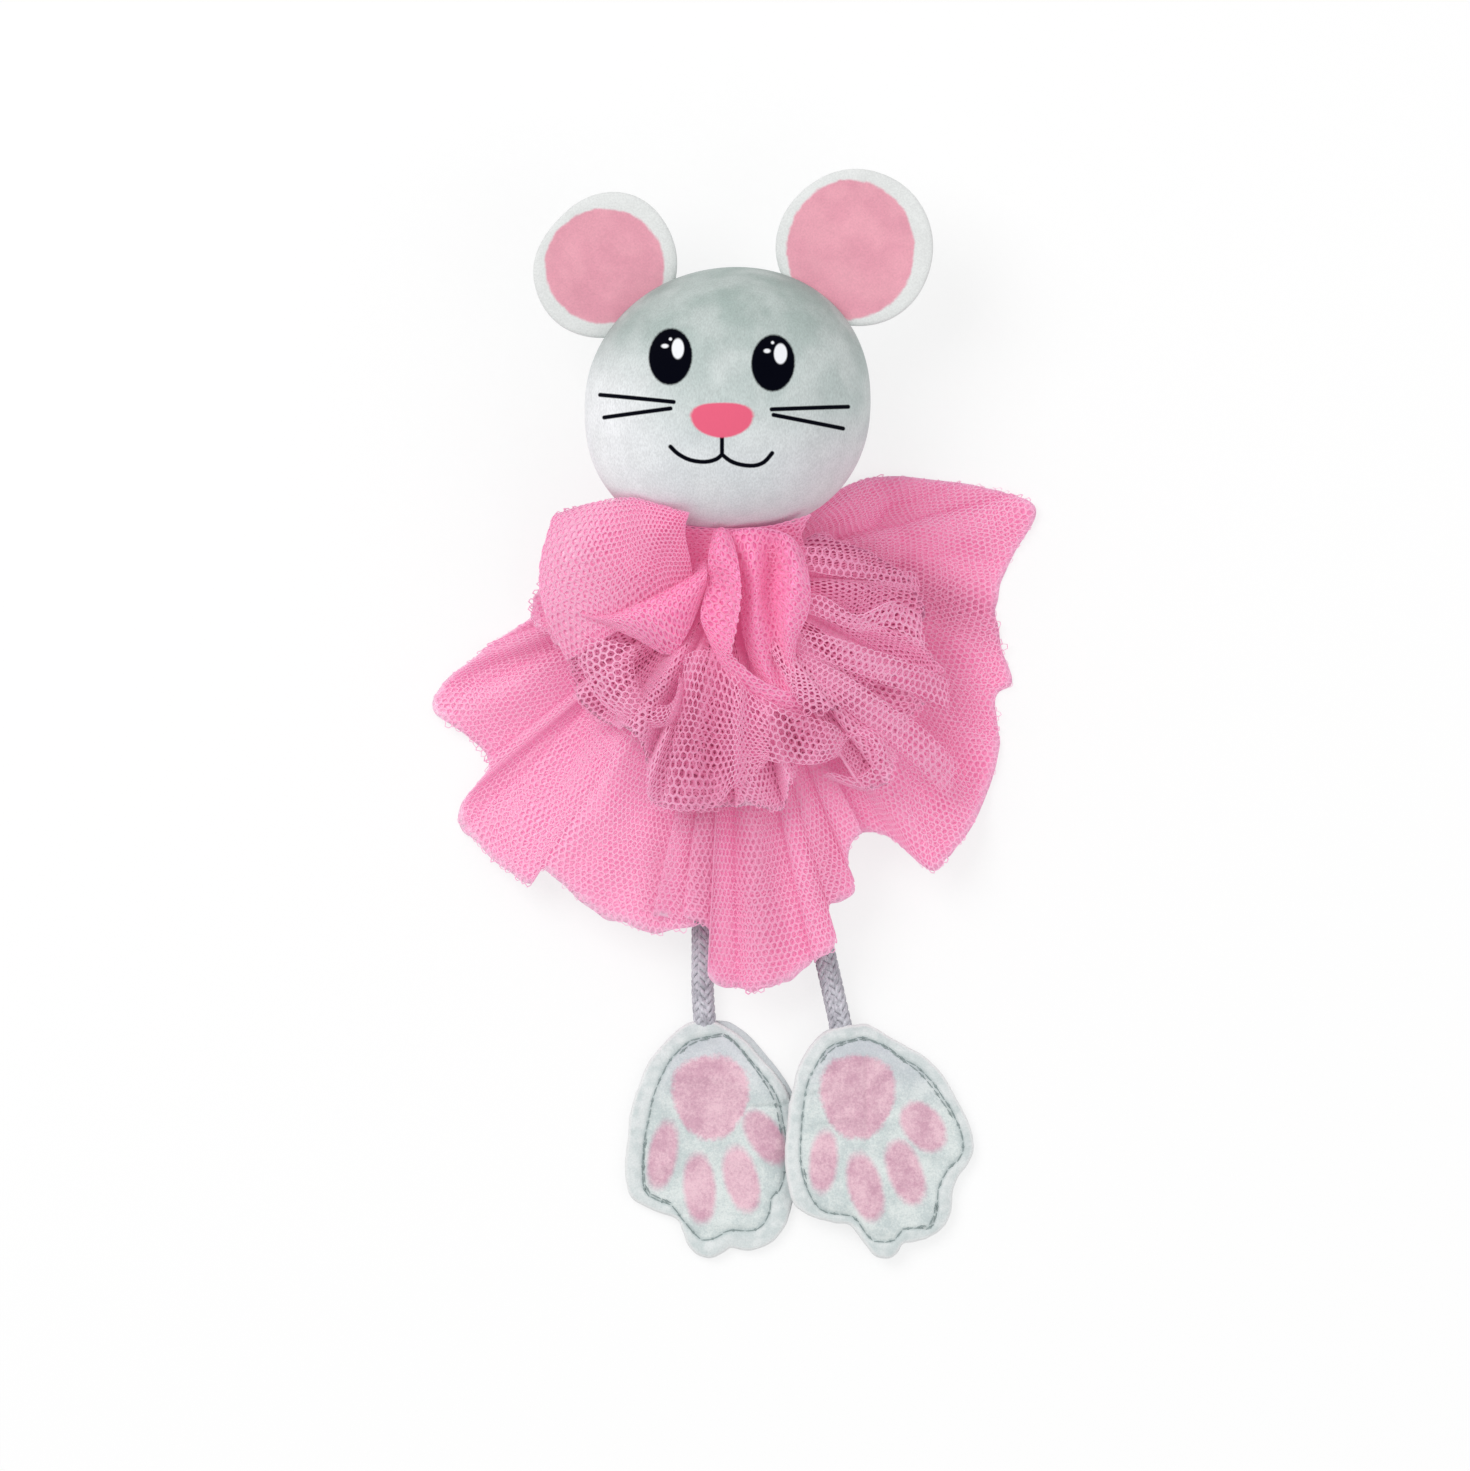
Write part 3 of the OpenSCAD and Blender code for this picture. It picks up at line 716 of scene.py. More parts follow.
class Tier:
    """A gathered tier: a hem in mm from the gather, knife folds that lean one way, a puff near the neck."""

    def __init__(self, hem, level, puff=0.0, folds=9, lean=1.3, way=1, fold_height=4.0, seed=1.0, start=7.0,
                 tilt=0.0):
        self.hem = catmull(hem, 10)
        self.along = lengths(self.hem)
        self.along /= self.along[-1]
        self.level, self.puff, self.folds, self.lean, self.way = level, puff, folds, lean, way
        self.fold_height, self.seed, self.start, self.tilt = fold_height, seed, start, tilt
        self.share = np.linspace(0, 1, 1600)
        at_hem = self.place(self.share, 1.0)
        self.flat_along = lengths(at_hem)
        self.width = self.flat_along[-1]
        self.depth = np.hypot(self.hem[:, 0], self.hem[:, 1]).max()

    def reach(self, s, t=1.0):
        """Where the cloth's lines meet the hem, from the gather, and the phase of the folds there."""
        phase = 2 * math.pi * self.folds * s + 2.2 * waves(s * 9, s * 0 + self.seed, self.seed, 1)
        lean = self.lean * (1 + 0.6 * waves(s * 4 * self.folds, s * 0 + 2, self.seed, 1))
        shift = lean * smoothstep(t * 1.5) * np.sin(phase) / (2 * math.pi * self.folds)
        q = np.clip(s + shift, 0, 1)
        rough = 0.5 * waves(s * 60, s * 0 + 1, self.seed + 3, 2)
        x, y = (np.interp(q, self.along, self.hem[:, k]) for k in (0, 1))
        r = np.hypot(x, y)
        return x * (1 + rough / r), y * (1 + rough / r), phase

    def place(self, s, t, drop=0.0):
        """Points at a share along the hem and a share out from the gather."""
        x, y, phase = self.reach(s, t)
        x, y = x * t, y * t
        r = np.hypot(x, y)
        z = net_height(r, np.degrees(np.arctan2(y, x))) + 1.4 * self.level + self.puff * net_puff(r)
        uneven = 1 + 0.4 * waves(s * 15, t * 3, self.seed, 1)
        fold = 0.5 + 0.5 * np.cos(phase - self.way * math.pi / 3) * uneven
        z = z + self.fold_height * smoothstep((r - 4) / 24) * fold
        z = z + 0.45 * waves(x / 3.5, y / 3.5, self.seed, 2) * smoothstep(r / 20)
        return np.stack([GATHER[0] + x, GATHER[1] + y, np.maximum(z, 1.4) - drop], -1)

    def at(self, flat, drop=0.0):
        """Points of the hung cloth for points of the flat cloth, and how far out each is, 1 being the hem."""
        s = np.interp(flat[:, 0], self.flat_along, self.share)
        x, y, _ = self.reach(s)
        t = flat[:, 1] / np.hypot(x, y)
        return self.place(s, t, drop), t


class HandFold:
    """A fold given as rows of points in mm from the gather, with heights above the floor."""

    def __init__(self, rows):
        rows = np.asarray(rows, float)
        rows[..., :2] += GATHER[:2]
        fine = np.stack([catmull(row, 8) for row in rows])
        self.grid = np.stack([catmull(fine[:, k], 8) for k in range(fine.shape[1])], 1)
        self.width = np.mean([lengths(line)[-1] for line in self.grid])
        self.depth = np.mean([lengths(self.grid[:, k])[-1] for k in range(self.grid.shape[1])])
        self.start = 0.0

    def place(self, s, t, drop=0.0):
        """Points at a share across the fold and a share down it."""
        m, n = self.grid.shape[:2]
        s, t = np.broadcast_arrays(s, t)
        i, j = np.clip(t, 0, 1) * (m - 1.001), np.clip(s, 0, 1) * (n - 1.001)
        i0, j0 = i.astype(int), j.astype(int)
        a, b = (i - i0)[..., None], (j - j0)[..., None]
        g = self.grid
        out = ((g[i0, j0] * (1 - b) + g[i0, j0 + 1] * b) * (1 - a)
               + (g[i0 + 1, j0] * (1 - b) + g[i0 + 1, j0 + 1] * b) * a)
        out[..., 2] += 0.3 * waves(out[..., 0] / 3, out[..., 1] / 3, 2.0, 2) - drop
        return out

    def at(self, flat, drop=0.0):
        """Points of the hung cloth for points of the flat cloth, and how far down each is, from 0 to 1."""
        t = flat[:, 1] / self.depth
        return self.place(flat[:, 0] / self.width, t, drop), t


def sway(flat):
    """Flat cloth points moved a little, so that the rows of cells run in soft curves."""
    x, y = flat[:, 0], flat[:, 1]
    return flat + np.stack([waves(x / 8, y / 8, 4.0, 2), waves(x / 8, y / 8, 9.0, 2)], -1)


def hexagons(width, depth, pitch, start, slack):
    """The cells of a net over flat cloth: corner points, the six corners of each cell, and their centres."""
    row = pitch * math.sqrt(0.75)
    j, i = np.meshgrid(np.arange(int(start / row), int(depth / row) + 1), np.arange(int(width / pitch) + 1),
                       indexing="ij")
    centres = np.stack([(i + 0.5 * (j % 2)) * pitch, j * row], -1).reshape(-1, 2)
    turn = np.radians(30 + 60 * np.arange(6))
    corners = centres[:, None] + pitch / math.sqrt(3) * np.stack([np.cos(turn), np.sin(turn)], -1)
    keys, index = np.unique(np.round(corners.reshape(-1, 2) * 1000).astype(int), axis=0, return_inverse=True)
    keys = keys / 1000
    loose = np.stack([hashed(keys[:, 0], keys[:, 1]), hashed(keys[:, 1], keys[:, 0], 3.0)], -1) - 0.5
    return sway(keys + slack * pitch * loose), index.reshape(-1, 6), sway(centres)


def node_tree(name, shape, inputs, result):
    """A node tree that takes a shape and some named inputs and gives a result: its nodes come later."""
    tree = bpy.data.node_groups.new(name, "GeometryNodeTree")
    tree.interface.new_socket(shape, in_out="INPUT", socket_type="NodeSocketGeometry")
    for label, kind, value in inputs:
        socket = tree.interface.new_socket(label, in_out="INPUT", socket_type=f"NodeSocket{kind}")
        if value is not None:
            socket.default_value = value
    tree.interface.new_socket(result, in_out="OUTPUT", socket_type="NodeSocketGeometry")
    return tree


def net_tree():
    """Nodes that cut a hole in each cell of a cloth and give the threads left their thickness."""
    inputs = [("Hole share", "Float", 0.79), ("Unevenness", "Float", 0.035), ("Thickness", "Float", 0.00026),
              ("Seed", "Int", 5), ("Thread", "Material", None)]
    tree = node_tree("knitted net", "Cloth", inputs, "Net")
    nodes, links = tree.nodes, tree.links

    def node(kind, **settings):
        made = nodes.new(kind)
        for key, value in settings.items():
            setattr(made, key, value)
        return made

    given, result = node("NodeGroupInput"), node("NodeGroupOutput")
    cell = node("GeometryNodeExtrudeMesh", mode="FACES")
    cell.inputs["Offset Scale"].default_value = 0
    low, high = node("ShaderNodeMath", operation="SUBTRACT"), node("ShaderNodeMath", operation="ADD")
    for edge in (low, high):
        links.new(given.outputs["Hole share"], edge.inputs[0])
        links.new(given.outputs["Unevenness"], edge.inputs[1])
    uneven = node("FunctionNodeRandomValue", data_type="FLOAT")
    links.new(low.outputs[0], uneven.inputs[2])
    links.new(high.outputs[0], uneven.inputs[3])
    links.new(given.outputs["Seed"], uneven.inputs["Seed"])
    hole = node("GeometryNodeScaleElements", domain="FACE")
    cut = node("GeometryNodeDeleteGeometry", domain="FACE")
    thread = node("GeometryNodeExtrudeMesh", mode="FACES")
    thread.inputs["Individual"].default_value = False
    under, joined = node("GeometryNodeFlipFaces"), node("GeometryNodeJoinGeometry")
    merge = node("GeometryNodeMergeByDistance")
    merge.inputs["Distance"].default_value = 0.000002
    paint = node("GeometryNodeSetMaterial")
    links.new(given.outputs["Cloth"], cell.inputs["Mesh"])
    links.new(cell.outputs["Mesh"], hole.inputs["Geometry"])
    links.new(cell.outputs["Top"], hole.inputs["Selection"])
    links.new(uneven.outputs[1], hole.inputs["Scale"])
    links.new(hole.outputs["Geometry"], cut.inputs["Geometry"])
    links.new(cell.outputs["Top"], cut.inputs["Selection"])
    links.new(cut.outputs["Geometry"], thread.inputs["Mesh"])
    links.new(given.outputs["Thickness"], thread.inputs["Offset Scale"])
    links.new(cut.outputs["Geometry"], under.inputs["Mesh"])
    links.new(thread.outputs["Mesh"], joined.inputs[0])
    links.new(under.outputs["Mesh"], joined.inputs[0])
    links.new(joined.outputs[0], merge.inputs["Geometry"])
    links.new(merge.outputs["Geometry"], paint.inputs["Geometry"])
    links.new(given.outputs["Thread"], paint.inputs["Material"])
    links.new(paint.outputs["Geometry"], result.inputs[0])
    return tree


def use_nodes(piece, tree, values):
    """Runs a node tree on a piece, with values for its named inputs, and keeps the mesh that it makes."""
    modifier = piece.modifiers.new(tree.name, "NODES")
    modifier.node_group = tree
    names = {item.name: item.identifier for item in tree.interface.items_tree if item.in_out == "INPUT"}
    for name, value in values.items():
        modifier[names[name]] = value
    return settle(piece)


def net_cloth(name, forms, material, pitch=1.6, drop=0.0, reach=1.0, slack=0.16, hole=0.79):
    """One piece of open net over some forms."""
    points, faces, count = [], [], 0
    for form in forms:
        corners, cells, centres = hexagons(form.width, form.depth * 1.04, pitch, form.start, slack)
        _, t = form.at(centres)
        ragged = 0.012 * (hashed(centres[:, 0], centres[:, 1]) - 0.5)
        keep = ((t + ragged < reach - 0.012) & (centres[:, 0] < form.width - 0.4) & (centres[:, 0] > 0.2)
                & (centres[:, 1] > form.start))
        used, cells = np.unique(cells[keep], return_inverse=True)
        hung, _ = form.at(corners[used], drop)
        points.append(hung)
        faces += (cells.reshape(-1, 6) + count).tolist()
        count += len(hung)
    piece = new_piece(name, np.concatenate(points), faces, material, smooth=False)
    seed = int(pitch * 100 + len(faces) % 97)
    use_nodes(piece, NET_TREE, {"Thread": material, "Seed": seed, "Hole share": hole})
    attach(piece, "torso")
    return piece


# width of the plies' cells in mm
PLIES_CELL = 1.65


def plies(name, forms, material, drop=0.9, inset=0.7, columns=260, rows=28):
    """The closely packed plies below the open net, as one thin cloth for each form."""
    points, faces, uv, count = [], [], [], 0
    for form in forms:
        s = np.linspace(0.004, 0.996, columns)[None, :]
        reach = 1 - inset * (1 + waves(s * 70, s * 0, 2.0, 2)) / form.depth
        t = form.start / form.depth + (reach - form.start / form.depth) * np.linspace(0, 1, rows)[:, None]
        s, t = np.broadcast_arrays(s, t)
        top, low = form.place(s, t, drop), form.place(s, t, drop + 0.3)
        skin, sides = shell(low, top)
        points.append(skin)
        faces += [[i + count for i in face] for face in sides]
        flat = np.stack([s * form.width, t * form.depth], -1).reshape(-1, 2) / PLIES_CELL
        uv.append(np.concatenate([flat, flat]))
        count += len(skin)
    piece = new_piece(name, np.concatenate(points), faces, material, uv=np.concatenate(uv))
    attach(piece, "torso")
    return piece


# painted shade over the net's hollows, in mm from the gather: place, radii, turn in degrees, and depth from 0
# to 1, which sets how dark the shade is
NET_SHADE_SPOTS = [((37, -1.5), (25, 5), -25, 0.75), ((46, -28), (6, 20), 6, 0.3),
               ((-7, -40), (6, 15), 3, 0.8), ((-16.5, -23), (5, 8), 10, 0.7),
               ((17.5, -33), (8, 5), 10, 0.7), ((-5.5, -64), (3, 14), 0, 0.45),
               ((7, -66), (4.5, 17), 3, 0.4), ((21, -64), (3, 9), 8, 0.35),
               ((-39, -15), (8, 5), 30, 0.25), ((27, -40), (6, 5), 0, 0.4),
               ((-15, -62), (2.5, 14), -6, 0.25)]


def painted_net_shade(s, u, v):
    """How much painted shade the net's hollows get at a place, from 0 to 1."""
    total = 0.0
    for at, radii, turn, deep in NET_SHADE_SPOTS:
        spot = s.ellipse(u, v, at, radii, turn, 0.85 * min(radii))
        total = s.math("MAXIMUM", s.math("MULTIPLY", spot, deep), total)
    return total


def net_finish(name, near, far, light=0.4, glow=0.14):
    """Nylon net: painted shade makes it deeper in colour near the gather, a painted glow stands in for light
    scattered through the plies, and a little light comes through it.
    """
    s = Shader(name, 0.55, sheen=0.2, specular=0.35)
    u, v = s.flat(GATHER)
    out = s.hypot(u, v)
    # painted shade: the thread darkens toward the gather, deep among the folds
    tone = s.mix(s.ramp(out, 4, 34), near, far)
    spots = s.noise(7.0, 3.0)
    tone = s.mix(s.math("MULTIPLY", s.ramp(spots, 0.35, 0.75), 0.35), tone, srgb(252, 210, 230))
    # painted shade in the hollows darkens the thread
    s.colour(s.mix(s.math("MULTIPLY", painted_net_shade(s, u, v), 0.55), tone, srgb(216, 112, 160)))
    # painted glow: emission, though the net is no lamp
    s.glow(PAINTED_GLOW_PINK, glow)
    thin = s.nodes.new("ShaderNodeBsdfTranslucent")
    s.put((*far, 1), thin.inputs["Color"])
    mix = s.nodes.new("ShaderNodeMixShader")
    mix.inputs["Fac"].default_value = light
    s.links.new(s.surface.outputs[0], mix.inputs[1])
    s.links.new(thin.outputs[0], mix.inputs[2])
    s.links.new(mix.outputs[0], s.nodes["Material Output"].inputs["Surface"])
    return s.material


def hex_lines(s, u, v):
    """1 on the lines of a net of six-sided cells, each one unit across, and 0 in the cells."""
    def near(shift):
        a = s.math("SUBTRACT", s.math("FLOORED_MODULO", s.math("ADD", u, shift[0]), 1.0), 0.5)
        b = s.math("SUBTRACT", s.math("FLOORED_MODULO", s.math("ADD", v, shift[1]), 1.732), 0.866)
        return a, b, s.math("ADD", s.math("MULTIPLY", a, a), s.math("MULTIPLY", b, b))

    a0, b0, d0 = near((0.0, 0.0))
    a1, b1, d1 = near((0.5, 0.866))
    first = s.math("LESS_THAN", d0, d1)
    pick = [s.blend(p, first, q, s.math("SUBTRACT", 1.0, first)) for p, q in ((a0, a1), (b0, b1))]
    a, b = (s.math("ABSOLUTE", p) for p in pick)
    far = s.math("MAXIMUM", a, s.math("ADD", s.math("MULTIPLY", a, 0.5), s.math("MULTIPLY", b, 0.866)))
    return s.ramp(far, 0.33, 0.42)


def plies_finish(name, deepest, near, glow, reach=(14, 50)):
    """Several plies of net seen together: two nets of lines over each other, deeper in colour near the
    gather, partly from the plies packed there and partly as painted shade, with painted shade in the hollows,
    painted light that makes them paler on the left and darker on the right, and a painted glow.
    """
    s = Shader(name, 0.7, sheen=0.2, specular=0.2)
    place = s.cloth_map()
    lines = None
    for turn, scale in ((0.35, 1.0), (-0.5, 1.12)):
        mapping = s.nodes.new("ShaderNodeMapping")
        mapping.inputs["Rotation"].default_value = (0, 0, turn)
        mapping.inputs["Scale"].default_value = (scale, scale, 1)
        s.links.new(place, mapping.inputs["Vector"])
        split = s.nodes.new("ShaderNodeSeparateXYZ")
        s.links.new(mapping.outputs[0], split.inputs[0])
        swayed = [s.math("ADD", split.outputs[k], s.math("MULTIPLY", s.noise(size, 2.0), 1.6))
                  for k, size in ((0, 4.0 * scale), (1, 5.0 * scale))]
        mesh = hex_lines(s, *swayed)
        lines = mesh if lines is None else s.math("MAXIMUM", s.math("MULTIPLY", lines, 0.6), mesh)
    u, v = s.flat(GATHER)
    out = s.hypot(u, v)
    hollow_shade = painted_net_shade(s, u, v)
    # painted light: the outer plies are paler on the left, toward the key light, and darker on the right
    edge = s.mix(s.ramp(u, -30, 45), srgb(250, 192, 220), srgb(246, 172, 208))
    # deeper near the gather: partly the packed plies' own colour, partly painted shade deep in the folds
    deep = s.mix(s.ramp(out, *reach), deepest, edge)
    # painted shade in the hollows darkens the plies
    deep = s.mix(hollow_shade, deep, srgb(150, 52, 98))
    # painted light on the lines too: paler on the left, darker on the right
    line_edge = s.mix(s.ramp(u, -30, 45), srgb(252, 218, 236), srgb(250, 192, 220))
    pale = s.mix(s.ramp(out, reach[0] - 10, reach[1] - 6), near, line_edge)
    # painted shade in the hollows darkens the lines too
    pale = s.mix(s.math("MULTIPLY", hollow_shade, 0.6), pale, srgb(206, 100, 148))
    s.colour(s.mix(lines, deep, pale))
    # painted glow: emission, though the plies are no lamp
    s.glow(PAINTED_GLOW_PINK, glow)
    s.bump(lines, 0.15, 0.5)
    return s.material


# hems of the tiers in plan, in mm from the gather
WING_HEM = [(7.5, 8.5), (14.5, 11.5), (20.5, 16.5), (29, 20.5), (38.5, 21.5), (56.5, 19), (67.5, 14.5),
            (60.5, 1.5), (59, -4.5), (59.5, -13.5), (62.5, -23.5), (59, -27.5), (59, -41.5), (53, -54.5),
            (45.5, -65), (35.5, -57.5), (28.5, -56.5)]
FAN_HEM = [(-6.5, -77), (-16.5, -78.5), (-27.5, -74.5), (-37, -67.5), (-41.5, -65), (-44.5, -68),
           (-56.5, -56.5), (-59, -51), (-53, -40.5), (-64.5, -28), (-53.5, -16.5), (-43.5, -9.5),
           (-41.5, -4.5)]
SKIRT_HEM = [(29.5, -56.5), (26, -61.5), (27.5, -69.5), (22, -73.5), (23.5, -81.5), (16.5, -85.5),
             (11, -89.5), (4.5, -91.5), (-2, -89.5), (-4.5, -86.5), (-3.5, -80.5), (-6.5, -76.5),
             (-16.5, -74.5)]
COLLAR_HEM = [(-34.5, -18.5), (-43, -9.5), (-41.5, -2.5), (-38.5, 7.5), (-37.5, 13.5), (-27.5, 15.5),
              (-21, 14.5), (-14, 11.5), (-7, 8.5)]
MIDDLE_HEM = [(43.5, -28.5), (37.5, -34.5), (35.5, -44.5), (29.5, -46.5), (23.5, -39.5), (15.5, -42.5),
              (11.5, -51.5), (3.5, -50.5), (-6.5, -52), (-16.5, -50.5), (-17.5, -42.5), (-20.5, -34.5),
              (-28.5, -31.5), (-34.5, -22.5), (-32.5, -10.5)]
RUFFLE_HEM = [(18.5, 9), (33.5, 3.5), (42.5, -5.5), (42.5, -14.5), (46.5, -21.5), (35.5, -22.5),
              (25.5, -28.5), (15.5, -32)]

# rows of the folds in front, in mm: plan places from the gather, and heights above the floor
LEFT_FLAP = [[(-4.9, 3, 44), (-4.5, -0.4, 48), (-4.9, -3.8, 43)],
             [(-12, -0.4, 40), (-10.4, -5.5, 46), (-8.7, -13, 41)],
             [(-19.7, -4.6, 35), (-17.1, -8.9, 42), (-12.9, -17.6, 37)],
             [(-26.4, -8.4, 29), (-23.9, -9.9, 36), (-19.7, -14.3, 33)],
             [(-32.3, -8.6, 26), (-29.8, -9.7, 29), (-27.3, -10.8, 28)]]
NECK_BAND = [[(-15, -3, 34), (-8, -4, 39), (0, -5, 41), (8, -4, 39), (15, -3, 34)],
             [(-16, 4, 36), (-9, 3, 40), (0, 2, 41), (9, 3, 40), (17, 4, 36)],
             [(-15, 8.5, 40), (-9, 7.4, 42), (0, 6.6, 42.5), (9, 7.4, 42), (16, 8.5, 40)],
             [(-16, 12.2, 43), (-9, 10.4, 43.6), (0, 9.7, 43.6), (9, 10.4, 43.6), (18, 13, 43)]]
COLLAR_CREST = [[(-7, -3, 41), (-13, -6, 40), (-20, -10, 34), (-28, -15, 26), (-35, -19, 17)],
                [(-8.2, 3, 49), (-14, 2, 47), (-21, -1, 42), (-30, -4, 31), (-40, -8, 15)],
                [(-9.2, 9, 51), (-15, 9, 52), (-22, 8, 44), (-31, 6, 35), (-41, 2, 14)],
                [(-8.4, 13, 53), (-15, 15, 49), (-21, 16.4, 46), (-29, 15.6, 33), (-38, 12.8, 17)]]
FRONT_FOLD = [[(-3.2, 9.4, 44), (-1.3, 9.9, 47), (0.6, 9.2, 44)],
              [(-4.3, 3.8, 48), (-1.5, 3.4, 51), (2.3, 2.1, 50)],
              [(-4.5, -2.1, 45), (-0.7, -3, 47), (2.8, -4.6, 52)],
              [(-6, -8.9, 43), (-1.9, -10.5, 45), (1.9, -11.4, 51)],
              [(-4.5, -13.9, 42), (-1.9, -15.6, 45), (0.8, -16.5, 49)],
              [(-0.9, -20.9, 42), (0.5, -20, 45), (1.7, -18.6, 47)],
              [(4.0, -25.8, 40), (5.5, -24.6, 43), (7, -22.9, 45)],
              [(10.4, -29.6, 38), (12, -27.9, 41), (13.5, -25.8, 42)],
              [(15.7, -32, 36), (17.5, -30.4, 38), (19.2, -28.3, 39)]]
RIGHT_PANEL = [[(0.2, 9.2, 44.5), (4.5, 9.9, 45.4), (9.5, 9.6, 45), (13.6, 8, 45), (16.4, 4.6, 42)],
               [(1.9, -1.3, 42), (5.7, 0.4, 46), (9.5, 1.3, 40), (14.1, 0.4, 48), (17.9, -3, 44)],
               [(2.7, -7.2, 43), (6.1, -6.8, 47), (9, -4.6, 41), (13.3, -7.2, 48), (17.3, -8.9, 44)],
               [(3.1, -13, 42), (6.5, -13.9, 46), (10.3, -13, 42), (12.8, -13.9, 47), (14.8, -14.8, 44)],
               [(4.8, -19, 41), (7.8, -19.8, 44), (10.7, -19.8, 41), (13.3, -20.3, 44), (15, -20.3, 42)],
               [(8.2, -24.9, 40), (10.3, -26.2, 42), (12.4, -26.6, 41), (14.1, -26.6, 42),
                (15.8, -26.8, 41)]]
LEFT_LOOP = [[(-20.1, -15.2, 32), (-20.3, -19.8, 32), (-18.8, -24.9, 33), (-15.9, -27.9, 37),
              (-12.9, -28.3, 40), (-11.2, -25.7, 41), (-10.5, -20.7, 41)],
             [(-26.5, -14.2, 31), (-26.8, -20, 31), (-23.6, -26.8, 33), (-18.7, -30.8, 37),
              (-13.8, -31.6, 40), (-11.2, -28.7, 41), (-10, -23, 41)],
             [(-31.9, -13.1, 23), (-32.3, -19.8, 22), (-28.1, -27.4, 24), (-21.4, -32.1, 30),
              (-14.6, -33.4, 36), (-11.2, -31, 38), (-9.6, -25.3, 40)]]
MIDDLE_PANEL = [[(-9.5, -17.7, 41), (-6.2, -16.5, 45), (-1.9, -17.3, 42), (2.3, -22.4, 44),
                 (4.8, -25.7, 42), (9, -29.1, 42)],
                [(-10.8, -29.1, 38), (-7, -29.1, 42), (-1.9, -30, 38), (1.9, -30.8, 43), (4.4, -33.3, 39),
                 (9, -35, 41)],
                [(-12.5, -39.2, 35), (-7.9, -39.2, 39), (-2.8, -39.7, 35), (1.4, -39.2, 40),
                 (4.4, -39.2, 36), (9, -39.2, 38)],
                [(-14.6, -51.2, 32), (-8.7, -51.9, 35), (-2.8, -50.6, 32), (0.6, -46.8, 37),
                 (4.6, -44.7, 33), (9, -40.3, 36)]]
RIGHT_HEM = [[(5.7, -25.7, 41), (11.6, -29.1, 43), (17.5, -30.8, 40), (22.5, -32.5, 41), (25, -34.6, 38)],
             [(5.2, -33.3, 38), (10.7, -35, 41), (16.6, -35.9, 37), (21.7, -36.7, 39), (24.9, -37, 35)],
             [(4.8, -39.2, 35), (10.7, -40.9, 37), (16.6, -41.4, 34), (20.8, -40.9, 36),
              (24.2, -39.4, 33)]]
RIGHT_LOOP = [[(23.8, -39.2, 32), (25.9, -35.9, 33), (29.3, -35.4, 33), (31.4, -38.4, 32),
               (31, -41.8, 31), (27.6, -43.9, 30), (21.7, -42.6, 30)],
              [(22.9, -38.7, 31), (25.2, -34.6, 32), (29.7, -34, 32), (33.3, -37.6, 31), (33.2, -43, 29),
               (28.9, -46, 28), (21, -43.2, 29)],
              [(22.5, -38.4, 27), (24.6, -33.3, 28), (30.1, -32.9, 28), (34.4, -36.7, 26),
               (34.4, -43.5, 24), (30.1, -47, 23), (20.4, -43.6, 26)]]
CASCADE = [[[(8, 5, 43), (20, 6, 41), (32, 2, 34), (41, 0.5, 25)],
            [(9, 2, 41), (20, 0, 40), (32, -2, 33), (42, -4.5, 25)]],
           [[(14, -4, 45), (21, -5, 43), (28, -9, 39), (36, -6, 33), (42, -9, 26)],
            [(14, -8, 43), (20, -9.5, 41), (27, -12.5, 36), (35, -12, 30), (43, -16.5, 24)]],
           [[(15, -12, 43), (24, -14, 41), (33, -17, 34), (42, -20, 26), (48, -23, 20)],
            [(14.5, -17, 41), (22, -19.5, 38), (31, -23, 32), (40, -26, 24), (48, -30, 18)]],
           [[(15, -17, 42), (24, -21, 39), (33, -27, 32), (42, -33, 23), (50, -41, 15)],
            [(14, -23, 40), (21, -26, 37), (30, -33, 30), (39, -40, 21), (48, -49, 12)]]]


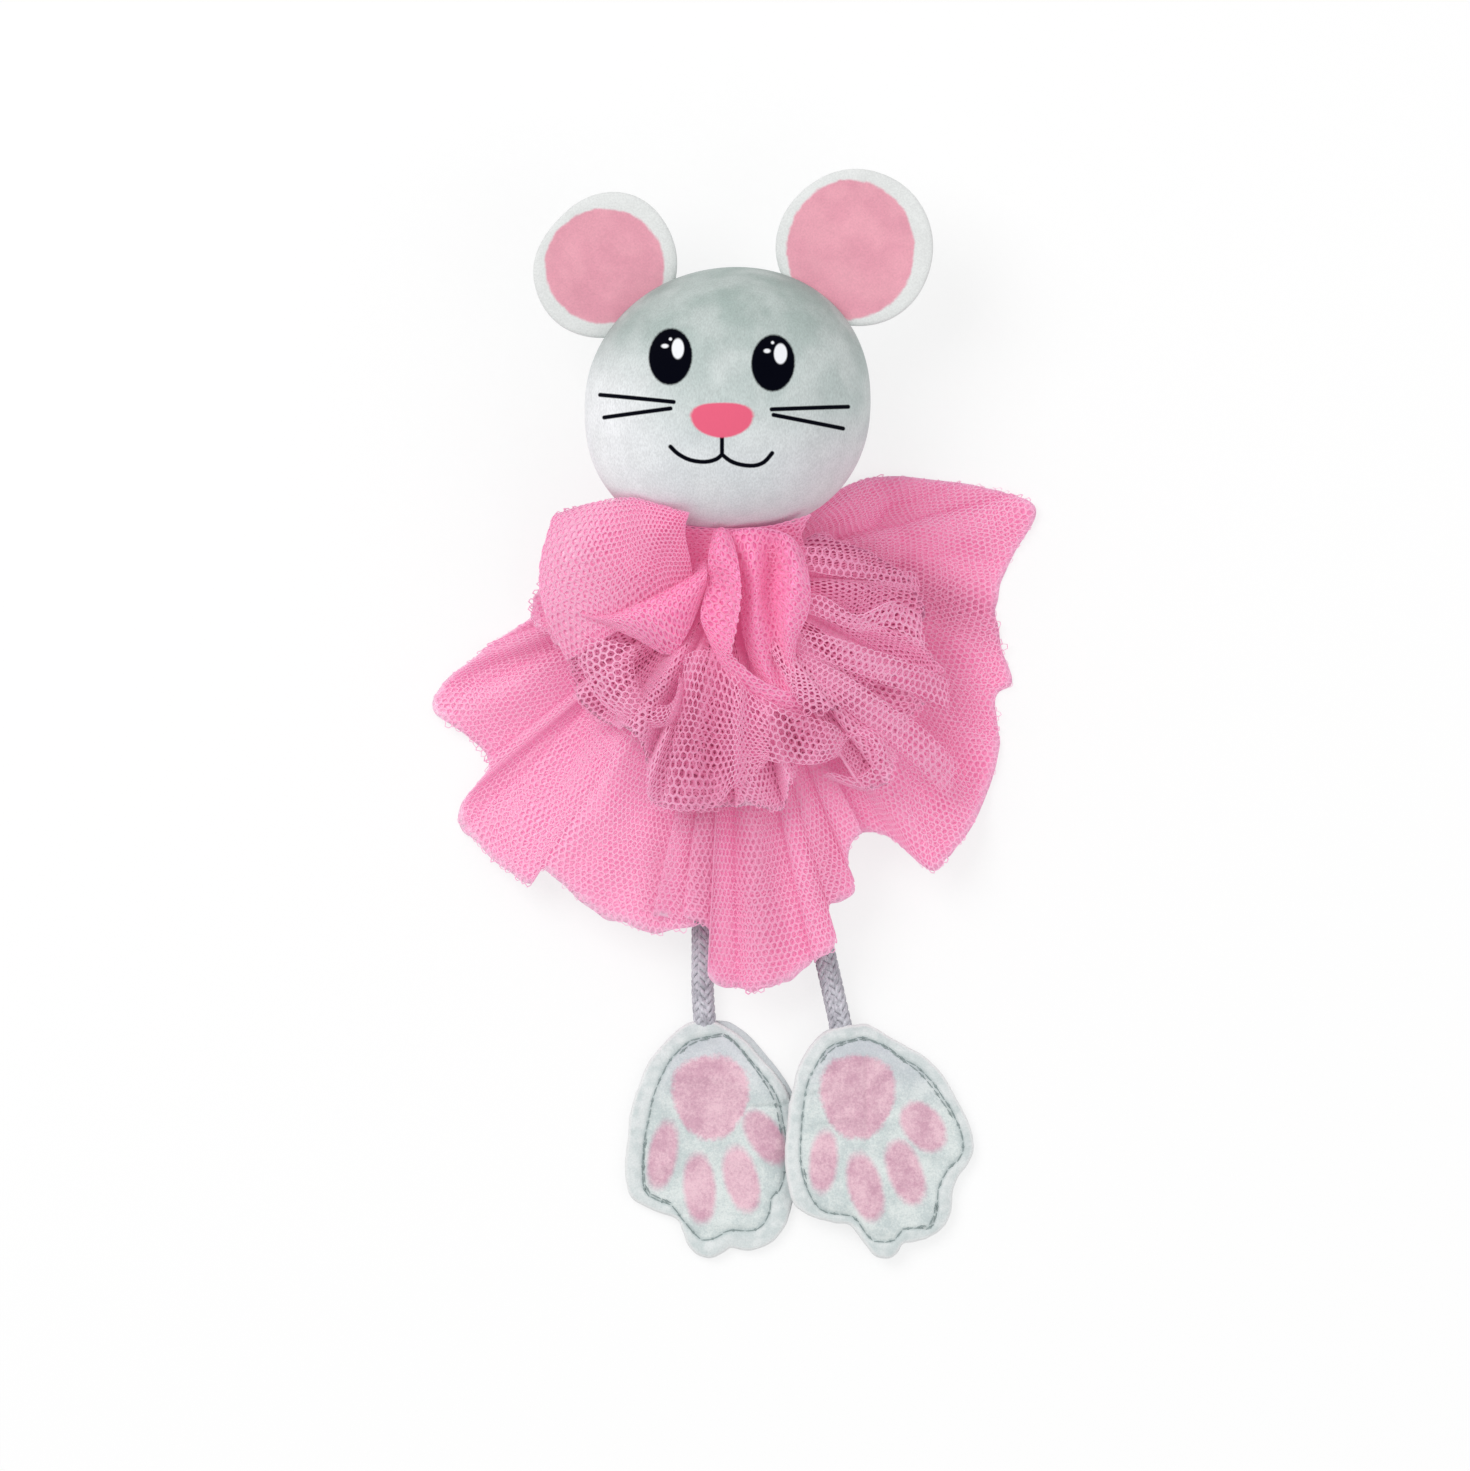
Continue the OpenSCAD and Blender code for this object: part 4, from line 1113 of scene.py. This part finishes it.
def make_net():
    """The gather and all the net: six tiers over thin cloths, then the folds in front of them."""
    # the threads glow a little with painted light; the front thread glows less
    bright = net_finish("net thread", srgb(246, 170, 208), srgb(250, 214, 234))
    pale = net_finish("net thread front", srgb(250, 176, 212), srgb(250, 206, 230), glow=0.11)
    packed = plies_finish("net plies", srgb(214, 110, 158), srgb(242, 158, 198), 0.14)
    # a darker copy of the plies, painted shade for the middle and ruffle tiers deep in the folds
    deep = plies_finish("net plies in painted fold shade", srgb(168, 50, 104), srgb(214, 108, 156), 0.05, (30, 66))
    folded = plies_finish("net plies folded in front", srgb(226, 112, 164), srgb(252, 168, 210), 0.12,
                          (24, 70))
    make_gather(packed)
    tiers = {
        "wing": Tier(WING_HEM, 0, folds=5, lean=0.45, way=-1, fold_height=2.4, seed=1.0),
        "fan": Tier(FAN_HEM, 1, folds=6, lean=0.45, way=1, fold_height=2.0, seed=2.0),
        "skirt": Tier(SKIRT_HEM, 2, folds=6, lean=0.8, way=1, fold_height=3.0, seed=3.0),
        "collar": Tier(COLLAR_HEM, 3, puff=7, folds=3, lean=0.4, way=1, fold_height=3.0, seed=4.0),
        "middle": Tier(MIDDLE_HEM, 4, puff=9, folds=11, lean=1.0, way=1, fold_height=4.5, seed=5.0),
        "ruffle": Tier(RUFFLE_HEM, 5.4, puff=11, folds=5, lean=1.3, way=-1, fold_height=5.0, seed=6.0)}
    for name, form in tiers.items():
        if name in ("wing", "fan"):
            cloth = net_cloth(f"net_{name}", [form], bright, pitch=1.55, slack=0.3, hole=0.82)
        else:
            cloth = net_cloth(f"net_{name}", [form], pale, slack=0.2)
        second = net_cloth(f"net_{name}_under", [form], bright, pitch=1.72, drop=0.55, reach=0.985, slack=0.3)
        below = plies(f"net_{name}_plies", [form], deep if name in ("middle", "ruffle") else packed)
        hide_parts(f"tulle_{name}")
        declare_net(cloth, [form])
    folds = [HandFold(rows) for rows in (LEFT_FLAP, FRONT_FOLD, RIGHT_PANEL)]
    cloth = net_cloth("net_front_folds", folds, pale)
    below = plies("net_front_plies", folds, folded, drop=0.6, inset=0.5, columns=60)
    declare_net(cloth, folds)
    collar = [HandFold(COLLAR_CREST), HandFold(NECK_BAND)]
    cloth = net_cloth("net_collar_crest", collar, pale)
    under = net_cloth("net_collar_crest_under", collar, bright, pitch=1.72, drop=0.5)
    below = plies("net_collar_crest_plies", collar, packed, drop=1.0, inset=0.9, columns=120)
    declare_net(cloth, collar)
    loops = [HandFold(rows) for rows in (LEFT_LOOP, MIDDLE_PANEL, RIGHT_HEM, RIGHT_LOOP, *CASCADE)]
    declare_net(net_cloth("net_loops", loops, pale), loops)


# share of an open net's area that its threads fill
THREAD_SHARE = 0.62


def hung_area(form):
    """Area of a hung cloth in square mm."""
    s, t = np.meshgrid(np.linspace(0, 1, 240), np.linspace(form.start / form.depth, 1, 40))
    p = form.place(s, t)
    return np.linalg.norm(np.cross(p[1:, :-1] - p[:-1, :-1], p[:-1, 1:] - p[:-1, :-1]), axis=-1).sum()


def declare_net(piece, forms):
    """Works out the area of the threads of a net over some forms, which the holes leave."""
    threads = THREAD_SHARE * sum(hung_area(form) for form in forms)


# ---------------------------------------------------------------- gather and neck tie

def make_gather(material):
    """The bundle of net at the neck, and the turns of thread that tie it to the head."""
    low, high = GATHER_LOW, GATHER_HIGH
    columns, rows = 160, 24
    turn = np.linspace(0, 2 * math.pi, columns, endpoint=False)[None, :]
    up = np.linspace(0, 1, rows)[:, None]
    r = (high[0] - low[0]) / 2 * (0.88 + 0.12 * np.cos(18 * turn + 1.2 * waves(up * 3, up * 0, 1.0, 1)))
    points = np.stack([GATHER[0] + r * np.cos(turn), GATHER[1] + r * np.sin(turn),
                       np.broadcast_to(low[2] + (high[2] - low[2]) * up, (rows, columns))], -1).reshape(-1, 3)
    faces = grid_faces(rows, columns, around=True)
    faces += [list(range(columns - 1, -1, -1)), list(range((rows - 1) * columns, rows * columns))]
    bundle = new_piece("net_gather", points, faces, material)
    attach(bundle, "torso")
    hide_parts("tulle_gather")

    low, high = box_mm("neck_tie")
    middle = (low + high) / 2
    turns, step = 4, 48
    turn = np.linspace(0, 2 * math.pi * turns, turns * step + 1)
    radius = (high[0] - low[0]) / 2 - 0.45
    along = np.linspace(low[1] + 0.5, high[1] - 0.5, len(turn))
    line = np.column_stack([middle[0] + radius * np.cos(turn), along, middle[2] + radius * np.sin(turn)])
    ahead = np.gradient(line, axis=0)
    ahead /= np.linalg.norm(ahead, axis=1)[:, None]
    side = np.tile((0, 1.0, 0), (len(line), 1))
    points, faces = tube(line, side, np.cross(side, ahead), 0.42, 0.42, 8, 0)
    ends = np.array([[middle[0], y, middle[2]] for y in (low[1], high[1])])
    across, down = np.tile((1.0, 0, 0), (2, 1)), np.tile((0, 0, -1.0), (2, 1))
    core, rims = tube(ends, across, down, radius, radius, 48, len(points))
    thread = velour_finish("tie thread", srgb(214, 150, 180), 0.15)
    tie = new_piece("neck_thread", np.concatenate([points, core]), faces + rims, thread)
    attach(tie, "torso")
    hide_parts("neck_tie")


# ---------------------------------------------------------------- paws

# a paw's length and thickness in mm, and how far the right one leans, in degrees
PAW_L, PAW_T, LEAN = 51.0, 3.4, 6.0
CORD_LIFT = 1.1
# distances in mm that the whole cloth map spans, from the seam and from the edge
SEWN_SPAN, EDGE_SPAN = 60.0, 30.0
# outlines and seams in mm from the ankle, then the printed pads: place, radii and turn in degrees
OUTLINES = {
    "left": [(0, 0.8), (2.8, 0.6), (8, -2.6), (12.2, -6.8), (15.6, -11), (18.6, -16), (20.6, -23),
             (20.7, -31), (19, -38.5), (18, -42.2), (16.8, -44.8), (14.7, -46.9), (11.6, -48.5),
             (8.5, -49), (5.7, -48.5), (3.9, -49.5), (1, -50.5), (-1.8, -49.8), (-3.9, -47.6),
             (-4.9, -44.8), (-6.3, -42), (-11.1, -40.2), (-15.5, -38), (-17, -34.9), (-17.3, -29.8),
             (-16.8, -23), (-15.8, -17.4), (-14.5, -13.3), (-12.2, -8), (-8.5, -3.2), (-3.9, 0.3)],
    "right": [(0, 0.4), (2.8, 0.6), (5.5, 0.8), (8.8, -1), (12.5, -3.1), (16.1, -5.1), (19.7, -7.7),
              (23.1, -11.8), (24.9, -15.5), (27, -19.6), (28.4, -23.2), (28.7, -26.5), (27.5, -29.5),
              (25.4, -32.4), (24, -35.6), (23.6, -39.8), (22.3, -43.2), (19.1, -45.6), (16, -46.5),
              (13.2, -46.9), (11.9, -49), (9.8, -50.1), (7.2, -49.7), (5.2, -47.6), (3.1, -44.6),
              (1.3, -42.7), (-1.8, -42.4), (-5.1, -41.6), (-8.5, -40.1), (-11.1, -37.8), (-12.1, -33.1),
              (-12.5, -27.4), (-12.1, -21.2), (-11.6, -16.6), (-10.6, -12.5), (-9.3, -7.8), (-7.2, -3.9),
              (-4.1, -1)]}
SEAMS = {
    "left": [(0.8, -2.4), (3.4, -1.9), (5.4, -2.7), (8.1, -5.4), (11.2, -9), (14.2, -13.2), (16.2, -17.4),
             (17.4, -24), (17.4, -31), (16.4, -35.2), (14.5, -37.4), (13.9, -40.7), (12.6, -43.2),
             (10.1, -44.5), (5.4, -44.6), (2.6, -46), (0.5, -46.6), (-1.5, -46), (-4.9, -42.2),
             (-7.2, -39.3), (-11.8, -37.3), (-13.4, -34.8), (-13.5, -29.8), (-13.1, -24.6),
             (-12.1, -19.5), (-11, -14.8), (-9, -10.2), (-7, -6.8), (-3.4, -3.5)],
    "right": [(4.2, -2.1), (1.1, -2.7), (-2.6, -3.9), (-4.6, -6), (-6.2, -8.8), (-7.7, -11.9),
              (-8.5, -15.6), (-9, -21.2), (-9.3, -25.9), (-9, -31), (-7.7, -35.2), (-5.9, -38.3),
              (-3.6, -40), (1.1, -40.7), (3.1, -41.9), (6.2, -45.9), (8.5, -46.5), (11.1, -46),
              (13.2, -43.9), (16, -43.6), (19.1, -43.3), (20.4, -40.3), (20.9, -35.2), (23, -30.8),
              (25.3, -28.5), (26.2, -25.9), (25.8, -22.8), (24.3, -19.2), (22.2, -15.6), (19.6, -11.9),
              (16.5, -8.8), (12.9, -6.5), (9.8, -4.2), (6.7, -2.9)]}
PADS = {
    "left": [((1.2, -15.8), (8.1, 9.1), 0), ((-9.2, -28.2), (3.0, 7.2), -10),
             ((-1.2, -35.4), (3.4, 7.4), 5), ((7.9, -33.4), (3.6, 7.1), 15),
             ((13.1, -24.3), (3.5, 6.5), 35)],
    "right": [((3.6, -15.1), (8.0, 9.1), 0), ((-3.8, -29.0), (3.0, 6.6), -5),
              ((5.3, -34.6), (3.6, 7.4), 15), ((14.0, -31.4), (3.7, 7.2), 20),
              ((17.9, -21.4), (4.1, 5.9), 38)]}


def line_area(line):
    """Area inside a closed line, more than 0 where the inside is on the line's left."""
    turned = np.roll(line, -1, axis=0)
    return np.sum(line[:, 0] * turned[:, 1] - line[:, 1] * turned[:, 0]) / 2


def closed_line(corners, count, rough):
    """A closed line through some points, evenly divided and a little uneven, with its inside on the left."""
    line = catmull(np.array(corners, float), 8, closed=True)
    line = np.vstack([line, line[:1]])
    far = lengths(line)
    at = np.linspace(0, far[-1], count, endpoint=False)
    line = np.column_stack([np.interp(at, far, line[:, k]) for k in (0, 1)])
    line += rough * np.stack([waves(line[:, 0] / 1.8, line[:, 1] / 1.8, k, 3) for k in (3.0, 8.0)], -1)
    return line if line_area(line) > 0 else line[::-1]


def paw_outline(side):
    return closed_line(OUTLINES[side], 240, 0.2)


def paw_seam(side):
    return closed_line(SEAMS[side], 260, 0.1)


def within(line, x, y):
    """Distance from a closed line, more than 0 inside it and less than 0 outside."""
    ends = np.roll(line, -1, axis=0)
    flat = np.stack([x, y], -1)[..., None, :]
    along = ends - line
    share = np.clip(np.sum((flat - line) * along, -1) / np.sum(along * along, -1), 0, 1)
    near = np.min(np.linalg.norm(flat - line - share[..., None] * along, axis=-1), axis=-1)
    above = (line[:, 1] > y[..., None]) != (ends[:, 1] > y[..., None])
    with np.errstate(divide="ignore", invalid="ignore"):
        cross = line[:, 0] + (y[..., None] - line[:, 1]) * along[:, 0] / along[:, 1]
    inside = np.sum(above & (x[..., None] < cross), axis=-1) % 2
    return np.where(inside == 1, near, -near)


def inset(line, far):
    """The outline drawn in by far mm and smoothed."""
    ahead = np.roll(line, -2, axis=0) - np.roll(line, 2, axis=0)
    ahead /= np.linalg.norm(ahead, axis=1)[:, None]
    inner = line + far * np.column_stack([-ahead[:, 1], ahead[:, 0]])
    for _ in range(14):
        inner = (np.roll(inner, 1, axis=0) + inner * 2 + np.roll(inner, -1, axis=0)) / 4
    return inner + 0.25 * np.stack([waves(inner[:, 0] / 4, inner[:, 1] / 4, k, 1) for k in (1.0, 2.0)], -1)


def paw_place(side, points):
    """Moves points from a paw's own flat frame to where it lies: the right one leans on the left one."""
    ankle = ANKLE[side]
    out = np.asarray(points, float) + (ankle[0], ankle[1], PAW_T / 2)
    if side == "right":
        edge = box_mm("paw_right_front", "paw_right_back")[1][0]
        c, s = math.cos(math.radians(LEAN)), math.sin(math.radians(LEAN))
        dx, z = out[..., 0] - edge, out[..., 2].copy()
        out[..., 0], out[..., 2] = edge + dx * c + z * s, z * c - dx * s
    return out


# creases from one point to another, and their depth, in mm
PAW_CREASES = {
    "left": [((9.4, -18.0), (17.9, -17.4), 0.7), ((-12, -20), (-16, -24), 0.3), ((2, -4), (6, -8), 0.3)],
    "right": [((5.2, -7), (5.4, -25), 0.35), ((-9.2, -10.4), (-2, -9.4), 0.5),
              ((-11.5, -15.1), (-4.1, -14), 0.5), ((12, -10), (17, -15), 0.3)]}


def fold_distance(x, y, a, b):
    """Distance from the line between two points."""
    (ax, ay), dx, dy = a, b[0] - a[0], b[1] - a[1]
    t = np.clip(((x - ax) * dx + (y - ay) * dy) / (dx * dx + dy * dy), 0, 1)
    return np.hypot(x - ax - t * dx, y - ay - t * dy)


def rounded(far, radius):
    """Height of a rounded edge, from 0 at the edge itself to 1 from radius inwards."""
    return np.sqrt(np.clip(1 - (1 - np.clip(far / radius, 0, 1)) ** 2, 0, 1))


def cord_lift(x, y):
    """How much the cord's end lifts the cloths about the ankle, from 0 to 1."""
    return smoothstep((6 - np.hypot(x, y)) / 5)


def paw_top(side, x, y, far, sewn):
    """Height of a paw's front cloth over its mid plane, by the distances from its edge and its seam."""
    seed = 2.0 if side == "left" else 5.0
    rim = rounded(far, 0.7)
    groove = np.exp(-(sewn / 0.45) ** 2)
    inside = smoothstep(sewn / 2.5)
    puckers = 0.8 + 0.45 * waves(x / 2.6, y / 2.6, seed + 1)
    border = (1 - inside) * (0.25 + 0.45 * smoothstep(far / 2.2)) * puckers
    folds = sum(deep * np.exp(-(fold_distance(x, y, a, b) / 0.55) ** 2) for a, b, deep in PAW_CREASES[side])
    crease = 1 - np.abs(waves(x / 7, y / 5, seed, 2)) * 1.6
    tucks = 1 - np.abs(waves(x / 3.5, y / 3.5, seed + 6, 2)) * 1.8
    dent = waves(x / 9, y / 8, seed + 4, 2)
    return (0.1 + rim * (0.7 + border) - 0.38 * groove - folds + inside * (0.5 + 0.45 * dent)
            + 0.45 * inside * np.maximum(crease, 0) ** 3 + 0.16 * rim * np.maximum(tucks, 0) ** 3)


def paw_panel(side, front):
    """Points, faces and cloth coordinates of one cloth of a paw, closed, with a rounded edge."""
    line = paw_outline(side)
    if not front:
        out = inset(line, -1.1) if side == "left" else line
        show = smoothstep((line[:, 0] - 1) / 4) * smoothstep((line[:, 1] + 30) / 6)
        line = line + (out - line) * show[:, None]
    n, rings = len(line), 42
    middle = np.array([line[:, 0].mean(), -0.5 * PAW_L])
    share = (1 - (1 - np.linspace(0.02, 1, rings)) ** 1.25)[:, None, None]
    plan = middle + share * (line - middle)[None]
    x, y = plan[..., 0], plan[..., 1]
    far = np.maximum(within(line, x, y), 0)
    far[-1] = 0
    sewn = within(paw_seam(side), x, y)
    if front:
        lift = cord_lift(x, y)
        outer = paw_top(side, x, y, far, sewn) + lift * CORD_LIFT
        inner = 0.05 + lift
    else:
        outer = -(0.1 + 1.4 * rounded(far, 1.4))
        inner = np.full_like(outer, -0.05)
    points = [np.stack([x, y, z], -1).reshape(-1, 3) for z in (outer, inner)]
    uv = np.stack([0.5 + sewn / SEWN_SPAN, far / EDGE_SPAN], -1).reshape(-1, 2)
    return paw_place(side, np.concatenate(points)), disc_faces(rings, n, front), np.concatenate([uv, uv])


def paw_finish(side):
    """Sage cloth with a pale edge outside the stitching and five printed pads with furry edges."""
    s = Shader(f"paw cloth {side}", 0.88, sheen=0.35, sheen_roughness=0.5, specular=0.2)
    u, v = s.flat(ANKLE[side])
    split = s.nodes.new("ShaderNodeSeparateXYZ")
    s.links.new(s.cloth_map(), split.inputs[0])
    far = s.math("MULTIPLY", split.outputs[1], EDGE_SPAN)
    sewn = s.math("MULTIPLY", s.math("SUBTRACT", split.outputs[0], 0.5), SEWN_SPAN)
    mottle = s.blend(s.noise(5.0, 4.0), 0.6, s.noise(0.7, 3.0), 0.4)
    cloth = s.mix(s.ramp(mottle, 0.36, 0.64), srgb(206, 217, 217), srgb(228, 235, 233))
    near_ankle = s.math("MULTIPLY", s.ramp(v, -20, -2), 0.5)
    cloth = s.mix(near_ankle, cloth, srgb(206, 206, 218))
    border = s.mix(s.ramp(s.noise(3.0, 3.0), 0.35, 0.65), srgb(212, 221, 221), srgb(230, 235, 235))
    cloth = s.mix(s.ramp(sewn, -0.5, 0.5), border, cloth)
    cloth = s.mix(s.ramp(far, 0.9, 0.2), cloth, srgb(240, 242, 242))
    # painted shade along the seam's groove
    seam_groove_shade = s.math("MULTIPLY", s.ramp(s.math("ABSOLUTE", sewn), 0.75, 0.1), 0.3)
    cloth = s.mix(seam_groove_shade, cloth, srgb(160, 176, 176))
    fuzz = s.math("ADD", s.wobble(0.8, 3.0, 0.16), s.wobble(2.5, 2.0, 0.16))
    pads = None
    for at, radii, turn in PADS[side]:
        taper = 0.2 if radii[0] > 7 else 0.0
        spot = s.ellipse(u, v, at, radii, turn, 0.7, 2.2, wobble=fuzz, taper=taper)
        pads = spot if pads is None else s.math("MAXIMUM", pads, spot)
    dusty = s.mix(s.ramp(mottle, 0.34, 0.66), srgb(214, 166, 186), srgb(240, 202, 214))
    s.colour(pile(s, s.mix(pads, cloth, dusty), 0.07, 0.35))
    return s.material


def stitch_tree():
    """Nodes that set a stitch at every step along a line, and a knot at every second one."""
    inputs = [("Step", "Float", 0.0025), ("Stitch length", "Float", 0.0024),
              ("Thread width", "Float", 0.00029), ("Knot step", "Float", 0.005), ("Seed", "Int", 3),
              ("Thread", "Material", None)]
    tree = node_tree("lockstitch", "Line", inputs, "Stitches")
    nodes, links = tree.nodes, tree.links

    def ball(radius):
        made = nodes.new("GeometryNodeMeshUVSphere")
        made.inputs["Segments"].default_value = 8
        made.inputs["Rings"].default_value = 6
        made.inputs["Radius"].default_value = radius
        return made

    given, result = nodes.new("NodeGroupInput"), nodes.new("NodeGroupOutput")
    curve = nodes.new("GeometryNodeMeshToCurve")
    steps = nodes.new("GeometryNodeCurveToPoints")
    steps.mode = "LENGTH"
    stitch = ball(0.5)
    size = nodes.new("ShaderNodeCombineXYZ")
    uneven = nodes.new("FunctionNodeRandomValue")
    uneven.data_type = "FLOAT"
    uneven.inputs[2].default_value = 0.9
    uneven.inputs[3].default_value = 1.05
    place = nodes.new("GeometryNodeInstanceOnPoints")
    knot = ball(0.0003)
    knots = nodes.new("GeometryNodeCurveToPoints")
    knots.mode = "LENGTH"
    between = nodes.new("GeometryNodeInstanceOnPoints")
    both = nodes.new("GeometryNodeJoinGeometry")
    vary = nodes.new("GeometryNodeScaleInstances")
    real = nodes.new("GeometryNodeRealizeInstances")
    paint = nodes.new("GeometryNodeSetMaterial")
    links.new(given.outputs["Line"], curve.inputs["Mesh"])
    links.new(curve.outputs[0], steps.inputs["Curve"])
    links.new(given.outputs["Step"], steps.inputs["Length"])
    for socket, name in zip(size.inputs, ("Thread width", "Thread width", "Stitch length")):
        links.new(given.outputs[name], socket)
    links.new(given.outputs["Seed"], uneven.inputs["Seed"])
    links.new(steps.outputs["Points"], place.inputs["Points"])
    links.new(stitch.outputs["Mesh"], place.inputs["Instance"])
    links.new(steps.outputs["Rotation"], place.inputs["Rotation"])
    links.new(size.outputs[0], place.inputs["Scale"])
    links.new(place.outputs[0], vary.inputs["Instances"])
    links.new(uneven.outputs[1], vary.inputs["Scale"])
    links.new(curve.outputs[0], knots.inputs["Curve"])
    links.new(given.outputs["Knot step"], knots.inputs["Length"])
    links.new(knots.outputs["Points"], between.inputs["Points"])
    links.new(knot.outputs["Mesh"], between.inputs["Instance"])
    links.new(vary.outputs[0], both.inputs[0])
    links.new(between.outputs[0], both.inputs[0])
    links.new(both.outputs[0], real.inputs["Geometry"])
    links.new(real.outputs[0], paint.inputs["Geometry"])
    links.new(given.outputs["Thread"], paint.inputs["Material"])
    links.new(paint.outputs[0], result.inputs[0])
    return tree


def make_film(side, material):
    """The crackling film between a paw's two cloths."""
    inner = inset(paw_outline(side), 1.2)
    ring = np.column_stack([inner, np.full(len(inner), -0.03)])
    points = paw_place(side, np.concatenate([ring, ring + (0, 0, 0.06)]))
    n = len(inner)
    faces = [list(range(n - 1, -1, -1)), list(range(n, 2 * n))]
    faces += [[j, (j + 1) % n, n + (j + 1) % n, n + j] for j in range(n)]
    piece = new_piece(f"crinkle_film_{side}", points, faces, material, smooth=False)
    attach(piece, f"paw_{side}")
    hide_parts(f"paw_{side}_film")


def make_stitching(side, thread, stitches):
    """The seam round a paw, and a second row in places where it was sewn twice."""
    edge, seam = paw_outline(side), paw_seam(side)
    points, edges = [], []
    for k, row in enumerate((seam, inset(seam, 0.55))):
        x, y = row[:, 0], row[:, 1]
        height = paw_top(side, x, y, np.maximum(within(edge, x, y), 0), within(seam, x, y)) + 0.12
        height += cord_lift(x, y) * CORD_LIFT
        points.append(paw_place(side, np.column_stack([row, height])))
        n = len(row)
        twice = waves(x / 7, y / 7, 2.0, 1) > 0.1
        edges += [(k * n + j, k * n + (j + 1) % n) for j in range(n) if k == 0 or twice[j]]
    mesh = bpy.data.meshes.new(f"paw_stitches_{side}")
    mesh.from_pydata(np.concatenate(points) * MM, edges, [])
    piece = bpy.data.objects.new(mesh.name, mesh)
    bpy.context.scene.collection.objects.link(piece)
    use_nodes(piece, stitches, {"Thread": thread})
    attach(piece, f"paw_{side}")
    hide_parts(f"paw_{side}_stitching")


def make_paws():
    """Each paw: a front and a back cloth, the film between them, and the stitching."""
    plain = velour_finish("paw back cloth", srgb(206, 212, 214))
    thread = velour_finish("stitch thread", srgb(150, 164, 164), 0.12)
    film = Shader("crinkle film", 0.25, specular=0.5)
    film.colour(srgb(236, 238, 240))
    stitches = stitch_tree()
    for side in ("left", "right"):
        line = paw_outline(side)
        for front in (True, False):
            part = "front" if front else "back"
            points, faces, uv = paw_panel(side, front)
            cloth = paw_finish(side) if front else plain
            piece = new_piece(f"paw_cloth_{side}_{part}", points, faces, cloth, uv=uv)
            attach(piece, f"paw_{side}")
            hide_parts(f"paw_{side}_{part}")
        make_film(side, film.material)
        make_stitching(side, thread, stitches)


make_camera()
make_stage()
cotton = cord_finish()
for leg in ("left", "right"):
    make_cord(leg, cotton)
make_head()
make_ears()
NET_TREE = net_tree()
make_net()
make_paws()
